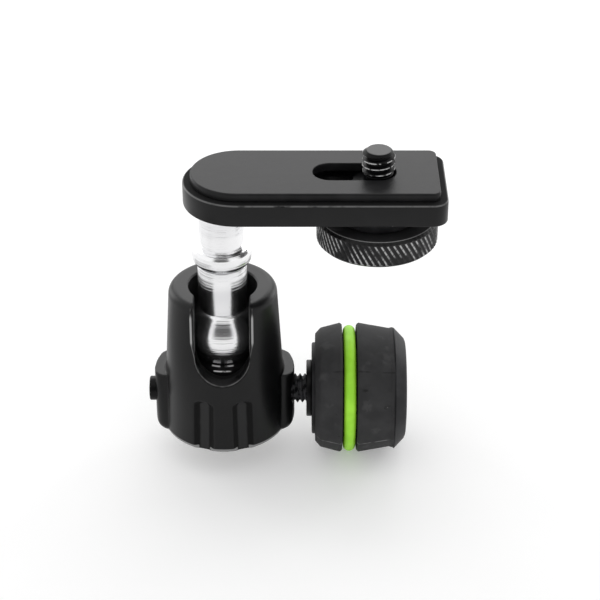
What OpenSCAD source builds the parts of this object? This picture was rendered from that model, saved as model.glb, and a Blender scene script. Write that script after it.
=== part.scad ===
// Offset camera plate on a lockable ball joint, for the threaded top of a lighting or microphone stand.
// The origin is the mouth of the stand thread. +Z is up, the drop slot faces -Y and the knob is on +X.

/* [Housing] */
// Radius of the housing at its foot
foot_r = 12.7; // [12.4:0.1:13.2]
// Radius lost per millimetre of height
body_taper = 0.06; // [0.04:0.005:0.07]
// Height of the rim above the ball's centre
rim_rise = 10.4; // [9.8:0.1:11.5]
// Rounding of the rim's outer edge
rim_round = 1.6; // [1:0.1:2]
// Chamfer round the foot
foot_chamfer = 0.5; // [0.3:0.1:1]
// Radius of the open mouth above the ball
mouth_r = 6.77; // [6.4:0.01:7]
// Width of the drop slot that lets the stud lie level
drop_slot_w = 10.7; // [10.3:0.1:11.2]
// Width of the slanted lip on each side of the drop slot, at the rim
lip_w = 0.9; // [0.5:0.1:1.2]

/* [Side bosses] */
// Distance from the housing's axis to the face of a boss
boss_reach = 14.25; // [13.8:0.05:15]
// Width of a boss
boss_w = 12; // [10:0.5:13]
// Height of a boss above the clamp screw's axis
boss_rise = 7.6; // [6:0.1:8.5]
// Rounding of a boss's upper edge
boss_top_round = 1.8; // [1:0.1:2.5]
// Rounding of a boss's lower edge
boss_foot_round = 1.8; // [1:0.1:3]

/* [Flutes] */
// Width of one flute
flute_w = 4.6; // [3.4:0.1:5]
// Width of a flute's floor, between its sloping sides
flute_floor_w = 2.6; // [1.6:0.1:3]
// Depth of one flute
flute_depth = 0.7; // [0.3:0.1:1]
// Height of a flute's top above the foot
flute_top = 11.5; // [9:0.5:13]
// Angle of each flute from the middle of the front or the back
flute_angle = 19; // [16:1:22]
// Rounding of a flute's upper corners
flute_corner_r = 1.2; // [0.5:0.1:1.4]

/* [Base insert] */
// Radius of the stand thread, 3/8 inch across its crests
stand_thread_r = 4.7625; // [4.5:0.0125:4.9]
// Radius of the insert's flange, which screws into the foot
insert_r = 10; // [9.7:0.1:10.2]
// Height of the insert's flange
insert_flange_h = 3.2; // [2.8:0.1:3.6]
// Radius of the insert's upright boss
insert_boss_r = 6; // [5.8:0.05:6.05]
// Depth of the stand thread
stand_thread_depth = 10.6; // [10:0.1:10.8]
// Radius of a spanner hole
spanner_hole_r = 0.9; // [0.6:0.1:1]
// Depth of a spanner hole
spanner_hole_depth = 1.8; // [1:0.1:2.2]

/* [Ball and stud] */
// Height of the ball's centre above the foot
ball_z = 21.9; // [21.6:0.1:23]
// Radius of the ball
ball_r = 7.5; // [7.3:0.05:7.5]
// Radius of the lower shank
shank_r = 4.9; // [4.5:0.05:4.95]
// Height of the groove under the collar, above the ball's centre
collar_rise = 15.5; // [15:0.1:17]
// Height of that groove
groove_h = 0.6; // [0.3:0.1:1]
// Radius of the collar at its widest
collar_r = 5.93; // [5.6:0.01:6.2]
// Height of the collar
collar_h = 3.4; // [2.5:0.1:4.5]
// Radius of the upper shank
neck_r = 4.4; // [4.2:0.05:4.8]
// Height of the stud's shoulder, under the plate, above the ball's centre
stud_rise = 29.3; // [28.5:0.1:32]
// Radius of the spigot that enters the plate
spigot_r = 3.4; // [3:0.1:3.6]
// Height of that spigot
spigot_h = 1.8; // [1.2:0.1:2]

/* [Clamp] */
// Height of the clamp screw's axis above the foot
clamp_z = 7.4; // [7.2:0.1:7.6]
// Radius of the clamp screw, M6 across its crests
clamp_screw_r = 3; // [2.8:0.05:3]
// Radius of the thrust pin
thrust_pin_r = 2.45; // [2.2:0.05:2.5]
// Radius of the flat on the thrust pin's point
thrust_tip_r = 0.8; // [0.5:0.1:1]
// Length of the thrust pin behind its cone
thrust_tail = 2.3; // [2:0.1:2.5]
// Height of the pressure cup's rim below the ball's centre
cup_rim_drop = 5.2; // [5.2:0.1:5.6]
// Thickness of the cup under the ball
cup_web = 1.95; // [1.6:0.05:2.1]
// Outer radius of the cup's skirt
cup_skirt_r = 9.2; // [9.1:0.05:9.3]
// Height of the cup's shoulder above the clamp screw's axis
cup_shoulder_rise = 4.6; // [4.5:0.1:4.8]
// Depth that the skirt reaches below the clamp screw's axis
cup_skirt_drop = 2.5; // [2:0.1:2.7]
// Thickness of the preload spring's strip
spring_t = 0.3; // [0.2:0.05:0.4]
// Radius of the guide screw, M5 across its crests
guide_screw_r = 2.5; // [2.3:0.05:2.8]
// Length of guide screw that stands out of the boss
guide_screw_out = 1.2; // [0.5:0.1:2]
// Radius of the guide screw's dog point
guide_dog_r = 1.6; // [1.3:0.1:1.8]

/* [Knob] */
// Length of bare clamp screw between the boss and the knob
knob_gap = 2.45; // [2:0.05:4]
// Radius of the hub's flange
hub_flange_r = 5.8; // [5:0.1:6.5]
// Thickness of the hub's flange
hub_flange_h = 1.1; // [0.8:0.1:1.5]
// Radius of the hub's stem
hub_stem_r = 4.8; // [4.5:0.1:5]
// Length of the hub's stem inside the core
hub_stem_l = 6.2; // [5:0.1:6.5]
// Wall of the grip between its ring's bed and the core
grip_bed_wall = 1.05; // [0.65:0.05:1.25]
// Thickness of core that shows in front of the grip
core_lip = 0.7; // [0.4:0.1:1]
// Length of the grip
grip_l = 16; // [15.5:0.1:17]
// Radius of the grip beside its ring
grip_r = 13.45; // [13:0.01:13.6]
// Radius of the grip's front face
grip_front_r = 11.2; // [10.5:0.1:11.6]
// Radius of the grip at its rear lip
grip_rear_r = 12.5; // [12.1:0.1:12.6]
// Distance from the grip's front face to the middle of its ring
ring_offset = 6.95; // [6.8:0.05:8]
// Width of the groove for the ring
ring_groove_w = 2.95; // [2.6:0.05:3.2]
// Radius of the ring's section
ring_section_r = 1.25; // [1.1:0.05:1.3]
// Depth of the ring's crown below the grip's largest radius
ring_sink = 0.5; // [0.3:0.05:0.6]
// Width across the clamp screw's hexagonal head
hex_head_w = 10; // [9:0.5:10.5]
// Height of that head
hex_head_h = 4; // [3:0.5:4.5]
// Length of the knob's end cap
cap_l = 2.6; // [2.2:0.1:3.5]
// Radius of the end cap where it meets the grip
cap_r = 12.4; // [11.5:0.1:12.4]

/* [Plate] */
// Width of the plate
plate_w = 21.5; // [20:0.5:23]
// Length of the plate, 2 inches
plate_l = 50.8; // [49:0.2:54]
// Thickness of the plate
plate_t = 4.6; // [4.3:0.1:5]
// Distance from the stud's axis to the plate's round end
plate_tail = 7.3; // [6.5:0.1:9]
// Corner radius at the plate's square end
plate_corner_r = 3; // [2:0.5:4]
// Distance from the plate's edge to the pad's edge
pad_inset = 1.5; // [1:0.1:2.5]
// Thickness of the pad
pad_t = 1.55; // [1:0.05:2.5]
// Thickness of the adhesive film under the pad
adhesive_t = 0.15; // [0.1:0.05:0.3]
// Distance that the adhesive film stops short of the pad's edge
adhesive_inset = 0.25; // [0.1:0.05:0.6]
// Width of the camera screw's slot
slot_w = 6.86; // [6.6:0.02:7.2]
// Distance that the camera screw can slide
slot_travel = 9.2; // [8:0.2:12]
// Distance from the stud's axis to the camera screw at the outer end of the slot
screw_x = 30.45; // [29:0.05:32]
// Width of the clip's track on top of the plate
track_w = 10.4; // [10:0.1:11]
// Depth of the clip's track
track_depth = 1.2; // [1:0.1:1.4]
// Radius of the plate's fixing screw, M4 across its crests
stud_screw_r = 2; // [1.8:0.1:2.1]
// Radius of that screw's countersunk head
stud_screw_head_r = 4; // [3.5:0.1:4.2]
// Depth that the screw reaches into the stud
stud_screw_bite = 7; // [5:0.5:10]

/* [Camera screw] */
// Radius of the camera screw, 1/4 inch across its crests
camera_screw_r = 3.175; // [3:0.025:3.2]
// Height of the screw's tip above the pad
camera_screw_out = 4.75; // [4:0.05:6]
// Radius of the flat on the screw's tip
camera_tip_r = 2.4; // [2:0.1:2.8]
// Length of the chamfer at the screw's tip
camera_tip_h = 0.65; // [0.4:0.05:1]
// Radius of the plain neck below the thread
camera_neck_r = 2.9; // [2.7:0.05:2.95]
// Radius of the groove that holds the clip
clip_groove_r = 2.3; // [2:0.1:2.5]
// Outer radius of the retaining clip
clip_r = 4.9; // [4.6:0.1:4.9]
// Thickness of the retaining clip
clip_t = 0.7; // [0.5:0.1:0.8]
// Outer radius of the slide washer
washer_r = 8.05; // [7:0.05:9]
// Thickness of the slide washer
washer_t = 2.9; // [2:0.1:3.5]
// Radius of the thumb wheel
wheel_r = 11.9; // [11:0.1:12.5]
// Thickness of the thumb wheel
wheel_t = 5.4; // [5:0.1:6]
// Edge chamfer of the thumb wheel
wheel_chamfer = 0.4; // [0.2:0.1:0.8]
// Radius of the camera screw's head, under the wheel
camera_head_r = 5.1; // [4.5:0.1:5.5]
// Height of that head
camera_head_h = 1.4; // [1:0.1:1.8]
// Depth of that head below the wheel's underside
camera_head_sink = 0.2; // [0.1:0.1:0.5]

/* [Fits] */
// Radial gap round anything that turns or slides
running_gap = 0.05; // [0.03:0.01:0.08]
// Gap between flat faces that slide on each other
face_gap = 0.02; // [0.01:0.01:0.05]
// Radial gap between the cup's skirt and the insert's boss
boss_gap = 0.2; // [0.15:0.05:0.3]

/* [Hidden] */
$fn = 96;
eps = 0.01;

rim_z = ball_z + rim_rise;
reach = boss_reach + rim_z;
slot_r = drop_slot_w / 2;
lip_lean = 7;
cup_bore_top = ball_z - ball_r - face_gap - cup_web;
cup_spigot_r = ball_r;
ball_bore_r = cup_spigot_r + 2 * running_gap;
skirt_bore_r = cup_skirt_r + 2 * running_gap;
cup_shoulder_z = clamp_z + cup_shoulder_rise;
skirt_bore_top = cup_shoulder_z + 0.6;
cup_skirt_inner_r = insert_boss_r + boss_gap;
thrust_tip_x = insert_boss_r + 0.4;
thrust_cone_l = thrust_pin_r - thrust_tip_r;
thrust_end_x = thrust_tip_x + thrust_cone_l + thrust_tail;
clamp_end_x = thrust_end_x + face_gap;
clamp_thread_start = skirt_bore_r + 0.7;
guide_dog_x = 7.2;
guide_slot_top = 2.8;
spring_inner_r = stand_thread_r + 0.1;
spring_outer_r = insert_boss_r - 0.1;
spring_waves = 3;
spring_steps = 72;

hub_x = boss_reach + knob_gap;
core_x = hub_x + hub_flange_h;
grip_x = core_x + core_lip;
grip_end_x = grip_x + grip_l;
hex_x = core_x + hub_stem_l + 1;
cap_pocket_x = hex_x + hex_head_h;
cap_spigot_r = 7.6;
cap_spigot_l = 3;
ring_x = grip_x + ring_offset;
ring_r = grip_r - ring_sink - ring_section_r;
ring_bed_r = ring_r - ring_section_r;
core_r = ring_bed_r - grip_bed_wall;

plate_z = ball_z + stud_rise;
plate_top = plate_z + plate_t;
pad_z = plate_top + adhesive_t;
pad_top = pad_z + pad_t;
track_z = plate_top - track_depth;
clip_z = track_z + (track_depth - clip_t) / 2;
washer_z = plate_z - washer_t;
wheel_top = washer_z - face_gap;
wheel_z = wheel_top - wheel_t;
head_z = wheel_z + camera_head_sink;
screw_tip_z = pad_top + camera_screw_out;

// Points along an arc, in the plane of the profile
function arc(cx, cy, r, a0, a1, steps = 8) =
    [for (i = [0:steps]) let (a = a0 + (a1 - a0) * i / steps) [cx + r * cos(a), cy + r * sin(a)]];

// Radius of the housing's skin at a height
function skin_r(z) = foot_r - body_taper * z;

// A shape built upright, laid along +X on the clamp screw's axis
module along_x(x) {
    translate([x, 0, clamp_z]) rotate([0, 90, 0]) children();
}

// The same along -X
module along_minus_x(x) {
    translate([-x, 0, clamp_z]) rotate([0, -90, 0]) children();
}

// A ring with plain walls
module tube(outer, inner, h) {
    difference() {
        cylinder(r = outer, h = h);
        translate([0, 0, -eps]) cylinder(r = inner, h = h + 2 * eps);
    }
}

// The fixing screw's countersunk head, with its face at the origin and its point along +Z
module countersink() {
    cylinder(r1 = stud_screw_head_r, r2 = stud_screw_r, h = stud_screw_head_r - stud_screw_r);
}

// Outline of the plate, or of a layer on it that is inset
module tongue(inset) {
    half = plate_w / 2 - inset;
    end_x = plate_l - plate_tail - inset;
    round_x = plate_w / 2 - plate_tail;
    corner = max(plate_corner_r - inset, 0.5);
    translate([round_x, 0]) circle(r = half);
    translate([round_x, -half]) square([end_x - corner - round_x, 2 * half]);
    translate([round_x, -half + corner]) square([end_x - round_x, 2 * (half - corner)]);
    for (side = [-1, 1]) translate([end_x - corner, side * (half - corner)]) circle(r = corner);
}

// A slot with round ends, along the camera screw's travel
module slot_outline(width) {
    for (x = [screw_x - slot_travel, screw_x]) translate([x, 0]) circle(r = width / 2);
    translate([screw_x - slot_travel, -width / 2]) square([slot_travel, width]);
}

module housing_skin() {
    rim_top_r = skin_r(rim_z - rim_round) - rim_round;
    rotate_extrude() polygon(concat(
        [[0, 0], [foot_r - foot_chamfer, 0], [skin_r(foot_chamfer), foot_chamfer]],
        arc(rim_top_r, rim_z - rim_round, rim_round, 0, 90),
        [[0, rim_z]]
    ));
}

module side_bosses() {
    top = clamp_z + boss_rise;
    intersection() {
        rotate_extrude() polygon(concat(
            [[0, 0]],
            arc(boss_reach - boss_foot_round, boss_foot_round, boss_foot_round, -90, 0),
            arc(boss_reach - boss_top_round, top - boss_top_round, boss_top_round, 0, 90),
            [[0, top]]
        ));
        translate([-boss_reach, -boss_w / 2, 0]) cube([2 * boss_reach, boss_w, top]);
    }
}

// One flute with sloping sides, cut from outside and leaning with the skin
module flute() {
    half = flute_w / 2;
    floor_half = flute_floor_w / 2;
    side_h = flute_top - flute_corner_r;
    cut = 2 * flute_depth;
    translate([0, -foot_r + flute_depth, 0])
        rotate([90 - atan(body_taper), 0, 0]) intersection() {
            linear_extrude(cut) {
                translate([-flute_w, -1]) square([2 * flute_w, side_h + 1]);
                translate([-half + flute_corner_r, 0]) square([flute_w - 2 * flute_corner_r, flute_top]);
                for (side = [-1, 1])
                    translate([side * (half - flute_corner_r), side_h]) circle(r = flute_corner_r);
            }
            translate([0, flute_top + 1, 0]) rotate([90, 0, 0])
                linear_extrude(flute_top + 2)
                    polygon([[-floor_half, 0], [floor_half, 0], [2 * half - floor_half, cut], [-2 * half + floor_half, cut]]);
        }
}

// The U-shaped slot through the front wall
module drop_slot() {
    translate([0, 0, ball_z]) rotate([90, 0, 0]) cylinder(r = slot_r, h = reach);
    translate([-slot_r, -reach, ball_z]) cube([drop_slot_w, reach, reach]);
}

// The slanted lip beside the drop slot, which runs out towards the slot's foot
module slot_lip(side) {
    lip_y = sqrt(pow(skin_r(rim_z), 2) - pow(slot_r, 2)) - lip_w;
    translate([side * slot_r, -lip_y, rim_z])
        rotate([-lip_lean, 0, 0])
            translate([0, 0, -rim_rise * 2])
                linear_extrude(rim_rise * 2.5)
                    polygon([[-side, 0], [0, 0], [side * 4, -4], [-side, -4]]);
}

module housing_cavity() {
    translate([0, 0, -1]) cylinder(r = insert_r, h = insert_flange_h + 1);
    cylinder(r = skirt_bore_r, h = skirt_bore_top);
    cylinder(r = ball_bore_r, h = ball_z);
    translate([0, 0, ball_z]) sphere(r = ball_r + running_gap);
    translate([0, 0, ball_z]) cylinder(r = mouth_r, h = rim_rise + 1);
}

module housing() {
    color("#1d1d1f") difference() {
        union() {
            housing_skin();
            side_bosses();
        }
        housing_cavity();
        drop_slot();
        for (side = [-1, 1]) slot_lip(side);
        for (turn = [-flute_angle, flute_angle, 180 - flute_angle, 180 + flute_angle])
            rotate([0, 0, turn]) flute();
        along_x(0) cylinder(r = thrust_pin_r + running_gap, h = clamp_thread_start + eps);
        along_x(clamp_thread_start) cylinder(r = clamp_screw_r + running_gap, h = reach);
        along_minus_x(skirt_bore_r - 1) cylinder(r = guide_screw_r, h = reach);
    }
}

module base_insert() {
    color("#9a9a92") difference() {
        union() {
            cylinder(r = insert_r, h = insert_flange_h);
            cylinder(r = insert_boss_r, h = stand_thread_depth);
        }
        translate([0, 0, -eps]) cylinder(r = stand_thread_r, h = stand_thread_depth + 2 * eps);
        for (side = [-1, 1])
            translate([0, side * (insert_r + stand_thread_r) / 2, -eps])
                cylinder(r = spanner_hole_r, h = spanner_hole_depth + eps);
    }
}

module guide_screw() {
    dog_l = skirt_bore_r - guide_dog_x;
    color("#161616") along_minus_x(guide_dog_x) difference() {
        union() {
            cylinder(r = guide_dog_r, h = dog_l + eps);
            translate([0, 0, dog_l]) cylinder(r = guide_screw_r, h = boss_reach + guide_screw_out - skirt_bore_r);
        }
        translate([0, 0, boss_reach + guide_screw_out - guide_dog_x - 2])
            cylinder(r = guide_screw_r / 2, h = 3, $fn = 6);
    }
}

// A wave washer: a flat strip bent into even waves round its circle
module preload_spring() {
    base = stand_thread_depth;
    swing = (cup_bore_top - stand_thread_depth - spring_t) / 2;
    corners = [[spring_inner_r, 0], [spring_outer_r, 0], [spring_outer_r, spring_t], [spring_inner_r, spring_t]];
    points = [
        for (i = [0:spring_steps - 1], c = corners)
            let (turn = 360 * i / spring_steps)
                [c[0] * cos(turn), c[0] * sin(turn), base + swing * (1 + cos(spring_waves * turn)) + c[1]]
    ];
    faces = [
        for (i = [0:spring_steps - 1], k = [0:3])
            let (j = (i + 1) % spring_steps, n = (k + 1) % 4)
                [4 * i + k, 4 * i + n, 4 * j + n, 4 * j + k]
    ];
    color("#b8b8b8") polyhedron(points = points, faces = faces, convexity = 6);
}

module pressure_cup() {
    skirt_z = clamp_z - cup_skirt_drop;
    rim = ball_z - cup_rim_drop;
    notch_w = 2 * (thrust_pin_r + 0.15);
    dog_slot_w = 2 * (guide_dog_r + 0.15);
    ceiling = thrust_tip_r + face_gap * 1.5 - thrust_tip_x;
    color("#2b2b2e") difference() {
        union() {
            translate([0, 0, skirt_z]) cylinder(r = cup_skirt_r, h = cup_shoulder_z - skirt_z);
            translate([0, 0, skirt_z]) cylinder(r = cup_spigot_r, h = rim - skirt_z);
        }
        translate([0, 0, ball_z]) sphere(r = ball_r + face_gap);
        cylinder(r = cup_skirt_inner_r, h = cup_bore_top);
        // Notch with a slanted ceiling that the thrust pin's cone lifts
        translate([0, notch_w / 2, clamp_z]) rotate([90, 0, 0]) linear_extrude(notch_w)
            polygon([[3, -5], [12, -5], [12, 12 + ceiling], [3, 3 + ceiling]]);
        // Upright slot that the guide screw's dog point keeps in line
        translate([-12, -dog_slot_w / 2, 0]) cube([12 - 3, dog_slot_w, clamp_z + guide_slot_top]);
    }
}

module thrust_pin() {
    color("#c9a94e") along_x(thrust_tip_x) {
        cylinder(r1 = thrust_tip_r, r2 = thrust_pin_r, h = thrust_cone_l);
        translate([0, 0, thrust_cone_l]) cylinder(r = thrust_pin_r, h = thrust_tail);
    }
}

module clamp_screw() {
    color("#141414") {
        along_x(clamp_end_x) cylinder(r = clamp_screw_r, h = hex_x - clamp_end_x + eps);
        along_x(hex_x) cylinder(r = hex_head_w / sqrt(3), h = hex_head_h, $fn = 6);
    }
}

module knob_hub() {
    color("#202022") along_x(hub_x) difference() {
        union() {
            cylinder(r = hub_flange_r, h = hub_flange_h);
            cylinder(r = hub_stem_r, h = hub_flange_h + hub_stem_l);
        }
        translate([0, 0, -eps]) cylinder(r = clamp_screw_r, h = reach);
    }
}

module knob_core() {
    color("#262628") difference() {
        along_x(core_x) cylinder(r = core_r, h = grip_end_x - core_x);
        along_x(core_x - eps) cylinder(r = hub_stem_r, h = hub_stem_l + eps);
        along_x(core_x) cylinder(r = clamp_screw_r, h = hex_x - core_x + eps);
        along_x(hex_x) cylinder(r = hex_head_w / sqrt(3), h = hex_head_h + eps, $fn = 6);
        along_x(cap_pocket_x) cylinder(r = cap_spigot_r, h = reach);
    }
}

module knob_grip() {
    slope = 0.26;
    edge = 0.4;
    groove_a = ring_offset - ring_groove_w / 2;
    groove_b = ring_offset + ring_groove_w / 2;
    shoulder_l = 1.1;
    shoulder_r = grip_r - slope * (groove_a - edge - shoulder_l);
    color("#3a3a3c") along_x(grip_x) rotate_extrude() polygon([
        [core_r, 0], [grip_front_r, 0], [shoulder_r, shoulder_l],
        [grip_r, groove_a - edge], [grip_r - edge, groove_a], [ring_bed_r, groove_a],
        [ring_bed_r, groove_b], [grip_r - edge, groove_b], [grip_r, groove_b + edge],
        [grip_rear_r - 0.15, grip_l - 0.9], [grip_rear_r, grip_l - 0.4], [grip_rear_r, grip_l], [core_r, grip_l]
    ]);
}

module grip_ring() {
    color("#a6e342") along_x(ring_x) rotate_extrude() translate([ring_r, 0]) circle(r = ring_section_r, $fn = 48);
}

module knob_end_cap() {
    color("#2e2e30") along_x(grip_end_x) {
        rotate_extrude() polygon([
            [0, 0], [cap_r, 0], [cap_r, 0.15], [cap_r - 2.1, cap_l - 0.45], [cap_r - 2.7, cap_l - 0.2], [0, cap_l]
        ]);
        translate([0, 0, -cap_spigot_l]) cylinder(r = cap_spigot_r, h = cap_spigot_l + eps);
    }
}

module ball_stud() {
    groove_z = collar_rise;
    collar_z = groove_z + groove_h;
    bulge = 0.5;
    hole_depth = stud_screw_bite + 0.6;
    color("#d8d8da") translate([0, 0, ball_z]) difference() {
        union() {
            sphere(r = ball_r);
            cylinder(r = shank_r, h = groove_z);
            cylinder(r = neck_r, h = stud_rise - face_gap);
            cylinder(r = spigot_r, h = stud_rise + spigot_h);
            translate([0, 0, collar_z]) rotate_extrude() polygon([
                [0, 0], [collar_r - bulge, 0], [collar_r - 0.12, collar_h * 0.2], [collar_r, collar_h * 0.5],
                [collar_r - 0.12, collar_h * 0.8], [collar_r - bulge, collar_h], [0, collar_h]
            ]);
        }
        translate([0, 0, stud_rise + spigot_h - hole_depth])
            cylinder(r = stud_screw_r + running_gap, h = hole_depth + 1);
    }
}

module plate() {
    color("#1b1b1d") difference() {
        translate([0, 0, plate_z]) linear_extrude(plate_t) tongue(0);
        translate([0, 0, plate_z - 1]) linear_extrude(plate_t + 2) slot_outline(slot_w);
        translate([0, 0, track_z]) linear_extrude(track_depth + 1) slot_outline(track_w);
        translate([0, 0, plate_z - 1]) cylinder(r = spigot_r + running_gap, h = spigot_h + running_gap + 1);
        translate([0, 0, plate_z]) cylinder(r = stud_screw_r, h = plate_t);
        translate([0, 0, plate_top]) rotate([180, 0, 0]) countersink();
    }
}

module stud_screw() {
    end_z = plate_z + spigot_h - stud_screw_bite;
    color("#5c5c60") difference() {
        union() {
            translate([0, 0, end_z]) cylinder(r = stud_screw_r, h = plate_top - end_z - eps);
            translate([0, 0, plate_top]) rotate([180, 0, 0]) countersink();
        }
        translate([0, 0, plate_top - 1.5]) cylinder(r = stud_screw_r * 0.7, h = 2, $fn = 6);
    }
}

module pad_adhesive() {
    color("#0e0e0f") translate([0, 0, plate_top]) linear_extrude(adhesive_t) difference() {
        tongue(pad_inset + adhesive_inset);
        slot_outline(track_w);
    }
}

module plate_pad() {
    color("#56565a") translate([0, 0, pad_z]) linear_extrude(pad_t) difference() {
        tongue(pad_inset);
        slot_outline(slot_w);
    }
}

module slide_washer() {
    color("#1a1a1c") translate([screw_x, 0, washer_z])
        tube(washer_r, camera_neck_r + running_gap, washer_t - face_gap);
}

module screw_clip() {
    color("#8a8a8e") translate([screw_x, 0, clip_z]) difference() {
        cylinder(r = clip_r, h = clip_t);
        translate([0, 0, -eps]) cylinder(r = clip_groove_r, h = clip_t + 2 * eps);
        translate([-clip_groove_r * 0.8, -reach, -eps]) cube([clip_groove_r * 1.6, reach, clip_t + 2 * eps]);
    }
}

module camera_screw() {
    thread_z = pad_top;
    color("#161618") translate([screw_x, 0, 0]) difference() {
        union() {
            translate([0, 0, head_z]) cylinder(r = camera_head_r, h = camera_head_h);
            translate([0, 0, head_z]) cylinder(r = camera_neck_r, h = thread_z - head_z + eps);
            translate([0, 0, thread_z]) cylinder(r = camera_screw_r, h = camera_screw_out - camera_tip_h);
            translate([0, 0, screw_tip_z - camera_tip_h])
                cylinder(r1 = camera_screw_r, r2 = camera_tip_r, h = camera_tip_h);
        }
        translate([0, 0, clip_z]) tube(camera_neck_r + 1, clip_groove_r, clip_t);
        translate([-camera_head_r - 1, -0.6, head_z - eps]) cube([2 * camera_head_r + 2, 1.2, 0.8]);
    }
}

module thumb_wheel() {
    color("#232325") translate([screw_x, 0, wheel_z]) difference() {
        rotate_extrude() polygon([
            [0, 0], [wheel_r - wheel_chamfer, 0], [wheel_r, wheel_chamfer], [wheel_r, wheel_t - wheel_chamfer],
            [wheel_r - wheel_chamfer, wheel_t], [0, wheel_t]
        ]);
        translate([0, 0, -1]) cylinder(r = camera_neck_r, h = wheel_t + 2);
        translate([0, 0, -1]) cylinder(r = camera_head_r, h = 1 + camera_head_sink + camera_head_h);
    }
}

housing();
base_insert();
guide_screw();
preload_spring();
pressure_cup();
thrust_pin();
clamp_screw();
knob_hub();
knob_core();
knob_grip();
grip_ring();
knob_end_cap();
ball_stud();
plate();
stud_screw();
pad_adhesive();
plate_pad();
slide_washer();
screw_clip();
camera_screw();
thumb_wheel();
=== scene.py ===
"""Looks of an offset camera bracket: a plate on a lockable ball joint, a side knob and a knurled wheel."""

import functools
import logging
import math
from dataclasses import dataclass
from enum import Enum
from typing import Sequence

import bmesh
import bpy
import numpy as np
from mathutils import Matrix, Vector


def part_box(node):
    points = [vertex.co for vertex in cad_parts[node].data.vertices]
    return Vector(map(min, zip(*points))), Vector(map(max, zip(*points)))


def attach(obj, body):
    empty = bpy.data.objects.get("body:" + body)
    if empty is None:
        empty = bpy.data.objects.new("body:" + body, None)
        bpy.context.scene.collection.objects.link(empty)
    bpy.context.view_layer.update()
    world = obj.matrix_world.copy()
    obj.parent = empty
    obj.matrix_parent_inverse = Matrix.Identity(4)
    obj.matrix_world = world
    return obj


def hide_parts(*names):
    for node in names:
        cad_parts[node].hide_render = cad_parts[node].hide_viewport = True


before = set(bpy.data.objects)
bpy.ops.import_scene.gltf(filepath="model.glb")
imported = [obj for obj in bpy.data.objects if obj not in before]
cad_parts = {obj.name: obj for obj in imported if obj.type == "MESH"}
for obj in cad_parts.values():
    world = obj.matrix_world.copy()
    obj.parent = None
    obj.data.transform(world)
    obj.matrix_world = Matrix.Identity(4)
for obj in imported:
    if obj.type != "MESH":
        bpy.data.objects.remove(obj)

MM = 0.001
PER_MM = 1000.0
TURN = 2 * math.pi
ORIGIN = Vector((0, 0, 0))
DIAGONAL = 0.7071
OVERLAP = 0.1
BEYOND = 1.0
BALL_Z = 21.9
CLAMP_Z = 7.4
FACETS = 5
FIRST_CORNER = 48.0
SIDE_SHARE = 0.49
CUT_MERGE = 2e-7
FINE_MERGE = 1e-7
FINEST_MERGE = 1e-8
log = logging.getLogger("bracket")

Triple = tuple[float, float, float]
Colour = tuple[float, float, float, float]
Span = tuple[float, float]
Value = "Field | float"


class Axis(Enum):
    """The way a turned piece's own axis points."""

    UP = "up"
    ACROSS = "across"


@dataclass(frozen=True)
class Extent:
    """The lowest and highest corner of a CAD node at rest, in millimetres."""

    lo: Vector
    hi: Vector

    @staticmethod
    def of(node: str) -> "Extent":
        """Reads a node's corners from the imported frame."""
        lo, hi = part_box(node)
        return Extent(Vector(lo) / MM, Vector(hi) / MM)

    @property
    def middle(self) -> Vector:
        """The centre of the box."""
        return (self.lo + self.hi) / 2


@dataclass(frozen=True)
class Cone:
    """The sizes that the housing's shape and its finish share, in millimetres."""

    foot_r: float = 12.7
    taper: float = 0.06
    slot_half: float = 5.4
    slot_z: float = 21.0
    lip_width: float = 0.6
    lip_run: Span = (20.3, 24.5)

    def away(self, tree: "Tree", x: "Field", z: "Field") -> "Field":
        """How far a point lies outside the drop slot."""
        return tree.hypot(x, tree.smaller(z - self.slot_z, 0.0)) - self.slot_half

    def lip(self, tree: "Tree", z: "Field") -> "Field":
        """How wide the lip beside the slot is at a height."""
        return tree.ramp(z, *self.lip_run) * self.lip_width


# Arithmetic on node trees


class Field:
    """A value inside a node tree. Arithmetic on it adds Math nodes."""

    def __init__(self, tree: "Tree", socket: bpy.types.NodeSocket) -> None:
        """Keeps the tree and the socket that gives the value."""
        self.tree = tree
        self.socket = socket

    def __add__(self, other: Value) -> "Field":
        """Adds."""
        return self.tree.math("ADD", self, other)

    def __sub__(self, other: Value) -> "Field":
        """Subtracts."""
        return self.tree.math("SUBTRACT", self, other)

    def __rsub__(self, other: float) -> "Field":
        """Subtracts from a number."""
        return self.tree.math("SUBTRACT", other, self)

    def __mul__(self, other: Value) -> "Field":
        """Multiplies."""
        return self.tree.math("MULTIPLY", self, other)

    def __truediv__(self, other: Value) -> "Field":
        """Divides."""
        return self.tree.math("DIVIDE", self, other)

    def __neg__(self) -> "Field":
        """Changes sign."""
        return self * -1.0

    __radd__ = __add__
    __rmul__ = __mul__


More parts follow.
